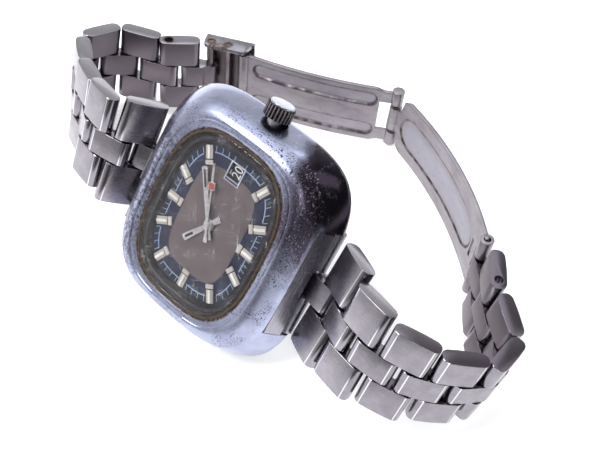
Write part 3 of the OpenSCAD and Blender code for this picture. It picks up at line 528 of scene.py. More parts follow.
# Grime has settled inside the rim, next to the crystal.
near_lip = falling(abs(at_x / 15.25) ** 3.0 + abs(at_y / 12.15) ** 3.0, 0.95, 1.0)
grime = near_lip * ramp(noise(own, 1.6), (0.3, 0.35), (0.55, 1.0))
# The seat under the crystal is painted dark: painted shade.
ledge = near_lip * falling(at_z, 0.9, 1.0)
scratch = larger(hairlines(own, 35.0, 1.6, 0.007), hairlines(own, -48.0, 1.4, 0.006))
tone = layered(
    steel_tone,
    # The first two layers hold the painted dark reflection; the first one also holds the dark pits by 12
    # o'clock.
    (dark_reflection_and_pits * 0.88, (0.05, 0.035, 0.06)),
    (painted_dark_reflection * 0.97, (0.022, 0.015, 0.023)),
    (pit_share, (0.035, 0.025, 0.04)),
    (nicks * dark_reflection_and_pits * 0.7, (0.5, 0.5, 0.58)),
    (grime, (0.055, 0.032, 0.018)),
    (ledge, (0.06, 0.052, 0.058)),
    (scratch * 0.3, (0.75, 0.75, 0.82)),
)
link(tone, shader, "Base Color")
rough = 0.12 + hair * 0.12 + grime * 0.4 + near_edge * 0.16 + scratch * 0.12
link(maths("ADD", rough, pit_share * 0.4, True), shader, "Roughness")
bump(shader, hair * 0.2 - pit_share * 0.5 - scratch * 0.4, 0.35, 0.00006)
piece("case_shell", case_solid, HEAD, "head", case_look, ["case"], 38.0)

# Movement and case back
# The hidden works: a plated movement with its wheels, levers and rotor, held in a ring, and the
# back, whose rim is pushed into the case over a black seal. They keep their machined solids and
# get their finishes here.


def plain_steel(name, dark, light, rough, grain_scale):
    """A machined metal with a cloudy tone and a fine grain, for parts that keep their solids."""
    made, shader, shared = material(name, 1.0, rough, local=False)
    lines = noise(shared, grain_scale, 3.0)
    link(cloudy(noise(shared, 400.0), dark, light), shader, "Base Color")
    link(lines * 0.2 + (rough - 0.1), shader, "Roughness")
    bump(shader, lines, 0.2, 0.00004)
    return made


def plain_look(name, roughness, scale, dark, light, metallic=0.0, local=True):
    """A material whose tone drifts between two colours."""
    made, shader, place = material(name, metallic, roughness, local)
    link(cloudy(noise(place, scale), dark, light), shader, "Base Color")
    return made


def round_rims(thing, width, segments, angle):
    rounding = thing.modifiers.new("edge", "BEVEL")
    rounding.width = width
    rounding.segments = segments
    rounding.limit_method = "ANGLE"
    rounding.angle_limit = math.radians(angle)


slots = {part["node"]: part["material_slot"] for part in frame["record"]["subparts"]}


def dress(look, *wanted, edge=0.0):
    """Gives the solid parts of some material slots their finish, and rounds their edges."""
    for name, thing in frame["nodes"].items():
        if slots[name] not in wanted:
            continue
        thing.data.materials.clear()
        thing.data.materials.append(look)
        if edge:
            round_rims(thing, edge, 2, 35.0)


works_look = plain_steel("works_steel", (0.4, 0.39, 0.4), (0.52, 0.51, 0.52), 0.35, 2000.0)
dress(works_look, "movement_steel", "back_metal")
brass_look = plain_steel("works_brass", (0.50, 0.38, 0.16), (0.66, 0.52, 0.26), 0.35, 2000.0)
dress(brass_look, "movement_brass")
dress(plain_look("black_rubber", 0.7, 900.0, 0.01, 0.03, local=False), "seal")

# Dial
# A thin metal plate with a satin grey brown centre and a dark blue border, on which a pale blue
# line and the minute ticks are printed. A dark ring stands round it, under the case's lip.

dial_look, shader, own = material("dial_paint", 0.35, 0.42)
at_x, at_y = split(own)[:2]
DIAL_POWER = 3.3


def inside(half_x, half_y, power):
    """1 inside a superellipse of the dial, 0 outside it."""
    reach = abs(at_x / half_x) ** power + abs(at_y / half_y) ** power
    return falling(reach * 0.5, 0.48, 0.52)


grain = noise(stretched(own, (1.0, 1.0, 0.0)), 18.0, 3.0)
worn_tone = noise(own, 0.35)
middle = blend(worn_tone, (0.155, 0.115, 0.12), (0.24, 0.19, 0.195))
middle = blend(grain * 0.5, middle, (0.08, 0.066, 0.070))
border = blend(worn_tone, (0.012, 0.015, 0.045), (0.028, 0.032, 0.075))
edge_zone = blend(worn_tone, (0.014, 0.015, 0.030), (0.030, 0.030, 0.050))
tone = blend(inside(11.3, 8.45, DIAL_POWER), edge_zone, border)
tone = blend(inside(9.23, 6.23, 3.9), tone, middle)
link(tone, shader, "Base Color")
link(grain * 0.3 + 0.3, shader, "Roughness")
bump(shader, grain, 0.2, 0.00002)


def plate(x0, x1, y0, y1, low, high, edge=0.0):
    return slab([(x0, y0), (x1, y0), (x1, y1), (x0, y1)], low, high, edge)


dial_plate = carve(
    slab(oval(13.28, 10.28, DIAL_POWER), -0.39, 0.0),
    plate(8.65, 11.15, -1.25, 1.25, -2.0, 2.0),
    round_bar(0.9, -2.0, 2.0),
)
piece("dial_plate", dial_plate, HEAD, "head", dial_look, ["dial"])

print_look = plain_look("pale_blue_print", 0.5, 2.0, (0.22, 0.32, 0.52), (0.36, 0.46, 0.66))


def join(*parts):
    """Several parts as one."""
    points, faces = [], []
    for part_points, part_faces in parts:
        faces += [tuple(i + len(points) for i in f) for f in part_faces]
        points += part_points
    return points, faces


# The blue line is left open where a baton or the date window stands.
line_in = oval(11.15, 8.3, DIAL_POWER, 360)
line_out = oval(11.32, 8.47, DIAL_POWER, 360)
line_parts = []
for i, (x, y) in enumerate(line_in):
    heading = math.degrees(math.atan2(x, y)) % 360
    off, hour_angle = min((abs((heading - a + 180) % 360 - 180), a) for a in range(0, 360, 30))
    half_gap = 0.75 if hour_angle in (0, 180, 270) else 1.125
    away = math.hypot(x, y) * math.sin(math.radians(off))
    if abs(y) < 1.5 if hour_angle == 90 else away < half_gap:
        continue
    j = (i + 1) % 360
    quad = [line_in[i], line_out[i], line_out[j], line_in[j]]
    line_parts.append(slab(quad, 0.003, 0.02))


def size_tree(name, sizes):
    """A geometry tree with a named input for each size, and the values that come in by them."""
    tree = bpy.data.node_groups.new(name, "GeometryNodeTree")
    for direction in ("INPUT", "OUTPUT"):
        tree.interface.new_socket("Geometry", in_out=direction, socket_type="NodeSocketGeometry")
    for label, value in sizes.items():
        kind = "NodeSocketInt" if isinstance(value, int) else "NodeSocketFloat"
        tree.interface.new_socket(label, in_out="INPUT", socket_type=kind).default_value = value
    tree.interface.new_socket("Finish", in_out="INPUT", socket_type="NodeSocketMaterial")
    sockets = tree.nodes.new("NodeGroupInput").outputs
    return tree, {socket.name: Value(socket) for socket in sockets if socket.name}


def joined(tree, *geometry):
    made = tree.nodes.new("GeometryNodeJoinGeometry")
    for value in geometry:
        tree.links.new(value.socket, made.inputs[0])
    return Value(made.outputs[0])


def end_tree(tree, given, *geometry):
    """Joins what a tree has made, makes it real and gives it its finish."""
    real = node(tree, "GeometryNodeRealizeInstances", {"Geometry": joined(tree, *geometry)})
    inputs = {"Geometry": real, "Material": given["Finish"]}
    faced = node(tree, "GeometryNodeSetMaterial", inputs)
    tree.links.new(faced.socket, tree.nodes.new("NodeGroupOutput").inputs[0])


def grow(tree, finish, sizes=None, base=((), ()), rim=0.0, rim_angle=40.0):
    """The plain part that a geometry tree makes, in millimetres, with its rims rounded."""
    mesh = bpy.data.meshes.new("growing")
    mesh.from_pydata(list(base[0]), [], list(base[1]))
    thing = add_object("growing", mesh)
    step = thing.modifiers.new("grow", "NODES")
    step.node_group = tree
    chosen = {**(sizes or {}), "Finish": finish}
    for item in tree.interface.items_tree:
        if item.in_out == "INPUT" and item.name in chosen:
            step[item.identifier] = chosen[item.name]
    if rim:
        round_rims(thing, rim, 3, rim_angle)
    made = finished_mesh(thing)
    bpy.data.objects.remove(thing)
    return part_of(made)


def vector(tree, x=0.0, y=0.0, z=0.0):
    return node(tree, "ShaderNodeCombineXYZ", {0: x, 1: y, 2: z})


def box(tree, size, middle):
    """A block of that size round that middle."""
    cube = node(tree, "GeometryNodeMeshCube", {"Size": size})
    return node(tree, "GeometryNodeTransform", {"Geometry": cube, "Translation": middle})


ticks, given = size_tree(
    "minute_ticks",
    {
        "Count": 60,
        "Skip": 5,
        "Inner X": 11.35,
        "Inner Y": 8.5,
        "Outer X": 12.2,
        "Outer Y": 9.25,
        "Power": DIAL_POWER,
        "Width": 0.11,
        "Height": 0.02,
    },
)
index = node(ticks, "GeometryNodeInputIndex")
angle = index / given["Count"] * (2 * math.pi)
sine, cosine = maths("SINE", angle), maths("COSINE", angle)


def reach_of(half_x, half_y):
    """How far a superellipse lies from the middle in the direction of each tick."""
    across = (abs(sine) / half_x) ** given["Power"]
    along = (abs(cosine) / half_y) ** given["Power"]
    return (across + along) ** maths("DIVIDE", -1.0, given["Power"])


start = reach_of(given["Inner X"], given["Inner Y"])
stop = reach_of(given["Outer X"], given["Outer Y"])
spot = vector(ticks, sine * start, cosine * start, given["Height"] * 0.5)
tick_size = vector(ticks, given["Width"], 1.0, given["Height"])
inputs = {
    "Points": node(ticks, "GeometryNodePoints", {"Count": given["Count"], "Position": spot}),
    "Selection": maths("MODULO", index, given["Skip"]),
    "Instance": box(ticks, tick_size, vector(ticks, 0.0, 0.5)),
    "Rotation": vector(ticks, z=-angle),
    "Scale": vector(ticks, 1.0, stop - start, 1.0),
}
end_tree(ticks, given, node(ticks, "GeometryNodeInstanceOnPoints", inputs))
line_parts.append(grow(ticks, print_look))
piece("minute_track", join(*line_parts), HEAD, "head", print_look)

rehaut_look = plain_look("dark_dial_ring", 0.35, 0.8, (0.030, 0.026, 0.030), (0.075, 0.064, 0.070), 0.4)
rehaut_rows = ((12.76, 9.76, 0.02), (13.5, 10.5, 0.02), (13.5, 10.5, 0.85), (13.05, 10.05, 0.85))
rehaut = through(oval_rings([(a, b, DIAL_POWER, z) for a, b, z in rehaut_rows]), closed=True)
piece("dial_ring", rehaut, HEAD, "head", rehaut_look, ["rehaut_ring"])

# Hour batons and date
# Eleven applied batons, cut from bright metal and set on the dial: a long block with a ridge and
# a short foot. At 3 o'clock a framed window shows the day printed on the date disc below.

baton_look, shader, own = material("baton_metal", 0.35, 0.3)
# The top of each baton's ridge is painted near white: a painted highlight.
ridge = rising(split(own)[2], 0.25, 0.33)
tone = cloudy(noise(own, 0.3), (0.50, 0.43, 0.37), (0.62, 0.56, 0.50))
link(blend(ridge, tone, (0.93, 0.91, 0.88)), shader, "Base Color")
link(cloudy(noise(own, 0.5), 0.30, 0.38), shader, "Roughness")
batons, given = size_tree(
    "hour_batons",
    {
        "Width": 1.35,
        "Length": 2.2,
        "Height": 0.18,
        "Ridge width": 0.46,
        "Ridge height": 0.34,
        "Foot width": 1.45,
        "Foot length": 0.75,
        "Foot height": 0.24,
    },
)
where_x, where_y = split(node(batons, "GeometryNodeInputPosition"))[:2]
blocks = []
for width, length, height, middle_y in (
    ("Width", "Length", "Height", 0.5),
    ("Ridge width", "Length", "Ridge height", 0.5),
    ("Foot width", "Foot length", "Foot height", -1.175),
):
    level = given[height] * 0.5 + 0.02
    size = vector(batons, given[width], given[length], given[height])
    blocks.append(box(batons, size, vector(batons, 0.0, middle_y, level)))
inputs = {
    "Points": given["Geometry"],
    "Instance": joined(batons, *blocks),
    "Rotation": vector(batons, z=-maths("ARCTAN2", where_x, where_y)),
}
end_tree(batons, given, node(batons, "GeometryNodeInstanceOnPoints", inputs))
hours = []
for hour, reach in enumerate((7.8, 9.1, 11.2, None, 11.2, 9.1, 7.8, 9.1, 11.2, 10.6, 11.2, 9.1)):
    if reach is not None:
        turn = math.radians(30 * hour)
        hours.append((reach * math.sin(turn), reach * math.cos(turn), 0.0))
baton_part = grow(batons, baton_look, base=(hours, ()), rim=0.05)
piece("hour_batons", baton_part, HEAD, "head", baton_look, ["hour_markers"], 25.0)

frame_parts = [
    plate(x0, x1, y0, y1, 0.02, 0.2, 0.03)
    for x0, x1, y0, y1 in (
        (8.0, 8.6, -1.5, 1.5),
        (11.2, 11.4, -1.5, 1.5),
        (8.6, 11.2, -1.5, -1.3),
        (8.6, 11.2, 1.3, 1.5),
    )
]
frame_look, shader, own = material("date_frame_metal", 0.4, 0.35)
at_x, at_y = split(own)[:2]
cell = falling(abs(at_x - 8.32) * 2.0, 0.38, 0.42)
cell = cell * falling(abs(at_y) * 0.5, 0.66, 0.68)
tone = cloudy(noise(own, 3.0), (0.55, 0.58, 0.66), (0.74, 0.77, 0.84))
link(blend(cell, tone, (0.10, 0.10, 0.13)), shader, "Base Color")
window_frame = join(*frame_parts)
piece("date_frame", window_frame, HEAD, "head", frame_look, ["date_window_frame"])

disc_look = plain_look("black_date_disc", 0.5, 2.0, (0.012, 0.012, 0.016), (0.03, 0.03, 0.036))
disc_turns = [math.radians(3 * i) for i in range(120)]
disc = through(
    [
        [(r * math.cos(turn), r * math.sin(turn), z) for turn in disc_turns]
        for r, z in ((8.35, -0.72), (12.4, -0.72), (12.4, -0.5), (8.35, -0.5))
    ],
    closed=True,
)
piece("date_ring", disc, HEAD, "date_disc_body", disc_look, ["date_disc"])

figure_look = plain_look("white_date_figures", 0.5, 4.0, (0.72, 0.72, 0.75), (0.9, 0.9, 0.92))


def digits(text, height):
    """The mesh of a number, centred, in millimetres, standing on the plane z = 0."""
    curve = bpy.data.curves.new("figures", "FONT")
    curve.body = text
    curve.align_x = "CENTER"
    curve.size = height * 1.42
    curve.extrude = 0.01
    curve.resolution_u = 3
    thing = add_object("figures", curve)
    points, faces = part_of(finished_mesh(thing))
    bpy.data.objects.remove(thing)
    ys = [y for x, y, z in points]
    middle_y = (min(ys) + max(ys)) / 2
    return [(x, y - middle_y, z) for x, y, z in points], faces


SHOWN_DAY, FIGURES_AT, FIGURE_HEIGHT = 20, (9.9, 0, -0.49), 1.7
figure_parts = []
for day in range(1, 32):
    turn = Matrix.Rotation(math.radians((day - SHOWN_DAY) * 360 / 31), 4, "Z")
    spot = turn @ Matrix.Translation(FIGURES_AT) @ Matrix.Scale(0.86, 4, (1, 0, 0))
    figure_parts.append(moved(digits(str(day), FIGURE_HEIGHT), spot))
figures = join(*figure_parts)
piece("date_figures", figures, HEAD, "date_disc_body", figure_look, closed=False)

# Hands
# Stamped steel hands with a black inlay and flared tails, pressed onto the pipes at the middle,
# and a thin seconds hand that carries a red square.

hand_look, shader, own = material("hand_steel", 0.9, 0.25)
tone = cloudy(noise(own, 1.5), (0.50, 0.47, 0.48), (0.72, 0.69, 0.70))
link(tone, shader, "Base Color")
link(noise(own, 9.0) * 0.3 + 0.14, shader, "Roughness")
inlay_look = plain_look("black_inlay", 0.4, 4.0, (0.01, 0.01, 0.012), (0.03, 0.03, 0.035))
red_look = plain_look("red_square", 0.45, 4.0, (0.42, 0.07, 0.05), (0.6, 0.12, 0.08))
HAND_THICK, HAND_TAIL = 0.15, 2.4


def hand_at(angle, level):
    return HEAD @ Matrix.Translation((0, 0, level)) @ Matrix.Rotation(math.radians(-angle), 4, "Z")


def hand_shape(length, hub, root, tip, pipe, low):
    """A hand that widens from its hub to its tip, with a flared tail and a pipe below."""
    r, t, shoulder = root / 2, tip / 2, length - 0.15
    blade_outline = [(-r, 0), (r, 0), (t, shoulder), (0, length), (-t, shoulder)]
    return join(
        round_bar(hub, 0, HAND_THICK, 0.03),
        slab(blade_outline, 0, HAND_THICK, 0.03),
        slab([(-t, -HAND_TAIL), (t, -HAND_TAIL), (r, 0), (-r, 0)], 0, HAND_THICK, 0.03),
        round_bar(pipe, low, 0.02),
    )


# The hands show 10:09.4 and 11.4 seconds; their levels keep them clear of each other.
hour_at = hand_at(30 * (10 + 9.4 / 60), 0.24)
minute_at = hand_at(6 * 9.4, 0.52)
second_at = hand_at(6 * 11.4, 0.8)
hour_blade = hand_shape(5.7, 1.0, 0.7, 1.15, 0.74, -1.1)
piece("hour_hand_blade", hour_blade, hour_at, "hour_hand_body", hand_look, ["hour_hand"])
minute_blade = hand_shape(9.5, 0.8, 0.6, 1.05, 0.54, -1.4)
minute_body = "minute_hand_body"
piece("minute_hand_blade", minute_blade, minute_at, minute_body, hand_look, ["minute_hand"])
hour_inlay = plate(-0.2, 0.2, 3.43, 5.2, 0.149, 0.165)
piece("hour_hand_inlay", hour_inlay, hour_at, "hour_hand_body", inlay_look)
minute_inlay = plate(-0.18, 0.18, 6.1, 9.0, 0.149, 0.165)
piece("minute_hand_inlay", minute_inlay, minute_at, minute_body, inlay_look)
needle = join(
    round_bar(0.5, 0, 0.1, 0.02),
    round_bar(0.3, 0.1, 0.2, 0.02),
    slab([(-0.12, 0), (0.12, 0), (0.2, 10.1), (-0.2, 10.1)], 0, 0.1, 0.02),
    slab([(-0.4, -2.8), (0.4, -2.8), (0.12, 0), (-0.12, 0)], 0, 0.1, 0.02),
    plate(-0.65, 0.65, 5.75, 7.05, -0.01, 0.1, 0.03),
    round_bar(0.24, -1.7, 0.02),
)
second_body = "second_hand_body"
piece("second_hand_needle", needle, second_at, second_body, hand_look, ["second_hand"])
square = plate(-0.5, 0.5, 5.9, 6.9, 0.099, 0.115)
piece("second_hand_square", square, second_at, second_body, red_look)

# Crystal
# A domed acrylic crystal pressed into a thin seal, with fine scratches in its top.
# The seal stands just under the rim and has browned with age.

RIM_X, RIM_Y, RIM_LEVEL, CRYSTAL_POWER = 14.25, 11.15, 1.52, 2.9
crystal_side = [
    (14.43, 11.33, CRYSTAL_POWER, 0.91),
    (14.45, 11.35, CRYSTAL_POWER, 1.0),
    (14.45, 11.35, CRYSTAL_POWER, 1.36),
    (14.40, 11.30, CRYSTAL_POWER, 1.45),
    (RIM_X, RIM_Y, CRYSTAL_POWER, RIM_LEVEL),
]
dome = []
for i in range(1, 22):
    t = i / 21
    share = 1 - t * 0.97
    level = RIM_LEVEL + 0.78 * (1 - share**2.2)
    dome.append((RIM_X * share, RIM_Y * share, CRYSTAL_POWER - 0.9 * t, level))
underside = []
for i in range(12):
    share = 0.03 + 0.97 * i / 11
    level = 1.0 + 0.62 * (1 - share**2.2)
    underside.append((13.9 * share, 10.8 * share, 2.0 + 0.9 * share, level))
crystal = through(oval_rings(underside + crystal_side + dome, 144))
crystal_look, shader, own = material("scratched_crystal", 0.0, 0.0)
shader.inputs["Transmission Weight"].default_value = 1.0
shader.inputs["IOR"].default_value = 1.25
marks = larger(hairlines(own, 62.0, 0.9, 0.006), hairlines(own, -25.0, 1.1, 0.005))
link(marks * 0.3, shader, "Roughness")
link(0.997 - marks * 0.4, shader, "Transmission Weight")
link(cloudy(noise(own, 0.5), (0.94, 0.95, 0.97), (0.98, 0.98, 0.99)), shader, "Base Color")
piece("crystal_dome", crystal, HEAD, "head", crystal_look, ["crystal"])

seal_look, shader, own = material("brown_seal", 0.0, 0.7)
dark, brown, black = (0.016, 0.010, 0.006), (0.060, 0.034, 0.016), (0.020, 0.013, 0.009)
link(ramp(noise(own, 1.2, 5.0), (0.35, dark), (0.55, brown), (0.72, black)), shader, "Base Color")
bump(shader, noise(own, 5.0), 0.5, 0.0001)
seal_rows = (
    (14.47, 11.37, 2.9, 0.92),
    (14.88, 11.78, 2.9, 0.92),
    (14.88, 11.78, 2.9, 1.38),
    (14.80, 11.70, 2.9, 1.47),
    (14.60, 11.50, 2.9, 1.49),
    (14.47, 11.37, 2.9, 1.40),
)
seal = through(oval_rings(seal_rows), closed=True)
piece("crystal_seal_ring", seal, HEAD, "head", seal_look, ["crystal_gasket"])

# Crown
# A steel crown with rolled flutes, pushed onto the winding stem at 3 o'clock.
# Its grooves are full of dirt, and its flat top is painted pale and less metallic: a painted reflection.

flutes, given = size_tree(
    "crown_flutes", {"Flutes": 24, "Radius": 2.41, "Depth": 0.29, "Height": 2.2, "Steps": 8}
)
count = given["Flutes"] * given["Steps"]
circle = node(flutes, "GeometryNodeCurvePrimitiveCircle", {"Resolution": count, "Radius": 1.0})
phase = node(flutes, "GeometryNodeInputIndex") / given["Steps"] * (2 * math.pi)
wave = (maths("COSINE", phase) * 0.5 + 0.5) ** 0.8 * given["Depth"]
inputs = {0: node(flutes, "GeometryNodeInputPosition"), "Scale": given["Radius"] - wave}
spot = node(flutes, "ShaderNodeVectorMath", inputs, operation="SCALE")
outline = node(flutes, "GeometryNodeSetPosition", {"Geometry": circle, "Position": spot})
rise = node(flutes, "GeometryNodeCurvePrimitiveLine", {"End": vector(flutes, z=given["Height"])})
inputs = {"Curve": rise, "Profile Curve": outline, "Fill Caps": True}
end_tree(flutes, given, node(flutes, "GeometryNodeCurveToMesh", inputs))
crown_look, shader, own = material("fluted_crown", 1.0, 0.3)
at_x = split(own)[0]
across = {0: stretched(own, (0.0, 1.0, 1.0))}
radial = node(own.tree, "ShaderNodeVectorMath", across, output="Value", operation="LENGTH")
groove = falling(radial / 3.0, 0.765, 0.80) * falling(at_x / 3.0, 0.73, 0.77)
dirt = noise(own, 2.5, 5.0)
groove = groove * ramp(dirt, (0.25, 0.6), (0.5, 1.0))
tone = cloudy(dirt, (0.30, 0.28, 0.32), (0.50, 0.48, 0.54))
tone = blend(groove, tone, (0.022, 0.014, 0.010))
# The flat top is painted pale: a painted reflection.
lid = rising(at_x / 3.0, 0.83, 0.85)
link(blend(lid, tone, (0.42, 0.43, 0.52)), shader, "Base Color")
link(1.0 - lid * 0.75, shader, "Metallic")
link(groove * 0.45 + 0.24, shader, "Roughness")
bump(shader, dirt, 0.2, 0.00005)
barrel = grow(flutes, crown_look, rim=0.1, rim_angle=70.0)
top = round_bar(2.08, 2.1, 2.6, 0.14, count=72)
points, faces = join(barrel, top)
crown = [(z, x, y) for x, y, z in points], faces
crown_at = HEAD @ Matrix.Translation((19.95, 0, CROWN_LEVEL))
piece("crown_knob", crown, crown_at, "crown_and_stem", crown_look, ["crown"], 30.0)

# End links
# Bent steel end links that fill the notches of the case, with a raised tongue in the middle,
# held with the first links by sprung bars. They are dark, with a painted highlight along their
# outer edges.

end_look, shader, shared = material("dark_end_links", 1.0, 0.3, local=False)
back = HEAD.inverted()
to_head = {
    "Vector": shared,
    "Location": back.to_translation() * 1000,
    "Rotation": back.to_euler(),
    "Scale": (1000, 1000, 1000),
}
own = node(shared.tree, "ShaderNodeMapping", to_head)
at_y, at_z = split(own)[1:]
outward = (abs(at_y) - 16.45) * 0.51 - (at_z + 1.35) * 0.86
lines = noise(stretched(own, (0.4, 4.0, 4.0)), 1.5, 3.0)
tone = cloudy(noise(own, 0.6), (0.10, 0.08, 0.105), (0.20, 0.17, 0.21))
# A lighter strip along the outer edges is a painted highlight.
strip = rising(outward / 4.0, 0.66, 0.70)
tone = blend(strip, tone, (0.36, 0.35, 0.40))
link(blend(lines * 0.5, tone, (0.22, 0.20, 0.24)), shader, "Base Color")
link(lines * 0.2 + 0.18, shader, "Roughness")
bump(shader, lines, 0.2, 0.00004)
dress(end_look, "end_link_metal", edge=0.00015)

# Bracelet
# Centre links and pairs of outer links in turn, milled from bar and held by pressed pins, grow
# narrower towards the clasp. Faces are brushed along it, strips at both ends are polished, and a
# painted highlight runs along the strips of the outer faces.

HALF_PITCH, SPRING_BAR_OUT, SPRING_BAR_LEVEL = 4.0, 17.3, -6.7
# How each link bends, rolls and swings against the one before it, in degrees, for the 6 and the
# 12 o'clock side, starting at the spring bar.
POSE = {
    -1: (
        (-14, -15, -2, 21, 19, 12, 16, 10, 10, 37, 31, 20, -6, -9, 11),
        (1.5, 1, 3, 3, 3, 3, 2.5, 2.5, 2.5, 1, -0.5, -1, -2, -2, -1.5),
        (-2, -2, -1, 0, 0, 0, 1.5, 1.5, 2, 2, 2, 1, 0, -1, -1.5),
    ),
    1: (
        (-30, -30, 48, 26, 22, -13, 19, -7, 33, 31, 25, 28, 2, -21, 0, 19.7),
        (-3, 0, -3, -3, -2.5, -2, -1, -1, -0.5, -0.5, 0.5, 1, 1.5, 1, 1, 1),
        (2, 2, 1.5, -1, -2, -1.5, -1.5, -1, -1, -0.5, -1, -1, -2, -2, -1, 0),
    ),
}


def chain(side):
    """The frames of one side's links, from the spring bar to the clasp."""
    spring_bar = Matrix.Translation((0, side * SPRING_BAR_OUT, SPRING_BAR_LEVEL))
    place = HEAD @ spring_bar @ Matrix.Rotation(math.radians(90 * side), 4, "Z")
    made = []
    for k, (bend, roll, swing) in enumerate(zip(*POSE[side])):
        if k:
            place = place @ Matrix.Translation((HALF_PITCH, 0, 0))
        for angle, axis in ((bend, "Y"), (roll, "X"), (swing, "Z")):
            place = place @ Matrix.Rotation(math.radians(angle), 4, axis)
        made.append(place.copy())
    return made


CHAINS = {side: chain(side) for side in (-1, 1)}


def link_outline():
    """Side view of a link round its middle: slightly crowned faces, sloped strips, round ends."""
    quarter = [(2.8 * i / 8, 1.4 - 0.10 * (i / 8) ** 2) for i in range(9)]
    quarter.append((2.92, 1.25))
    for i in range(1, 10):
        a = math.radians(76 * (1 - i / 9))
        quarter.append((2.73 + 1.03 * math.cos(a), 0.2 + 1.04 * math.sin(a)))
    quarter.append((3.76, 0.0))
    right_side = quarter + [(x, -z) for x, z in reversed(quarter[:-1])]
    whole = right_side + [(-x, z) for x, z in reversed(right_side[1:-1])]
    # It runs clockwise from the top, so it is turned round.
    return [(x + HALF_PITCH / 2, z) for x, z in reversed(whole)]


LINK_SHAPE = link_outline()
# Of the blind holes in the last pair of the 12 o'clock side, this is where the upper one opens.
HOLE_Y = 7.55 * (-1 if CHAINS[1][13].col[1].z < 0 else 1)

link_look, shader, own = material("brushed_links", 1.0, 0.3)
at_x, at_z = split(own)[::2]
lines = noise(stretched(own, (0.25, 9.0, 9.0)), 1.6, 3.0, 0.6)
cloud = noise(own, 0.5)
shared = shared_place(own.tree)
piece_tone = noise(shared, 90.0, 1.0)
from_middle = abs(at_x - HALF_PITCH / 2) / 4.0
strip = rising(from_middle, 0.705, 0.715)
# A bright line on the polished strips of the outer faces is a painted highlight.
painted_highlight_strip = strip * falling(from_middle, 0.745, 0.76)
face_y, face_z = split(stored(own.tree, "facing"))[1:]
inner = rising(-face_z, 0.6, 0.75)
cap = rising(abs(face_y), 0.8, 0.95)
lines = lines * (1.0 - cap * 0.7)
strip = strip * (1.0 - cap)
outside = rising(at_z * 0.25 + 0.5, 0.5, 0.6)
painted_highlight_strip = painted_highlight_strip * (1.0 - cap) * outside
tone = ramp(cloud * 0.5 + piece_tone * 0.5, (0.35, (0.21, 0.195, 0.22)), (0.65, (0.33, 0.31, 0.34)))
# The end faces of the links on the right are painted darker: painted shade.
cap_tone_with_painted_shade = ramp(split(shared)[0] * 10.0 + 0.5, (0.66, (0.30, 0.285, 0.315)), (0.71, (0.13, 0.115, 0.135)))
# Rust has crept out of the blind hole.
hole = CHAINS[1][13] @ Vector((0.0, HOLE_Y, 0.0)) * 0.001
inputs = {0: shared, 1: hole}
away = node(own.tree, "ShaderNodeVectorMath", inputs, output="Value", operation="DISTANCE")
rust = falling(away * 400.0 + cloud * 0.4, 0.50, 0.72)
tone = layered(
    tone,
    (lines * 0.4, (0.16, 0.15, 0.17)),
    (inner, (0.17, 0.145, 0.165)),
    (cap, cap_tone_with_painted_shade),
    (painted_highlight_strip, (0.62, 0.61, 0.65)),
    (rust, (0.085, 0.042, 0.022)),
)
link(tone, shader, "Base Color")
face_rough = lines * 0.16 + 0.2 + inner * 0.15
link(maths("SUBTRACT", face_rough, strip * 0.12, True), shader, "Roughness")
bump(shader, lines * (1.0 - strip), 0.25, 0.00004)

CENTRE_W, GAP_W = 4.4, 4.9
blocks, given = size_tree(
    "link_blocks",
    {
        "Width": 5.1,
        "Blocks": 2,
        "Gap": GAP_W,
        "Pins": 2,
        "Pin radius": 0.5,
        "Pin play": 0.15,
        "Pitch": HALF_PITCH,
    },
)


def bars(profile, length, number, first, last):
    """Bars of that side view, lying across, spread from one place to another."""
    half = length * 0.5
    ends = {"Start": vector(blocks, y=-half), "End": vector(blocks, y=half)}
    line = node(blocks, "GeometryNodeCurvePrimitiveLine", ends)
    inputs = {"Curve": line, "Profile Curve": profile, "Fill Caps": True}
    bar = node(blocks, "GeometryNodeCurveToMesh", inputs)
    spread = {"Count": number, "Start Location": first, "Offset": last}
    row = node(blocks, "GeometryNodeMeshLine", spread, mode="END_POINTS")
    return node(blocks, "GeometryNodeInstanceOnPoints", {"Points": row, "Instance": bar})


side_view = node(blocks, "GeometryNodeMeshToCurve", {"Mesh": given["Geometry"]})
reach = (given["Width"] + given["Gap"]) * 0.5
first, last = vector(blocks, y=-reach), vector(blocks, y=reach)
link_bars = bars(side_view, given["Width"], given["Blocks"], first, last)
inputs = {"Resolution": 20, "Radius": given["Pin radius"]}
round_view = node(blocks, "GeometryNodeCurvePrimitiveCircle", inputs)
span = given["Gap"] + given["Pin play"] * 2.0
pins = bars(round_view, span, given["Pins"], vector(blocks), vector(blocks, given["Pitch"]))
end_tree(blocks, given, link_bars, pins)

OUTER_WIDTHS = (7.35, 6.4, 5.6, 5.1, 5.1, 5.1, 5.1)
side_base = [(x, z, 0.0) for x, z in LINK_SHAPE], [tuple(range(len(LINK_SHAPE)))]
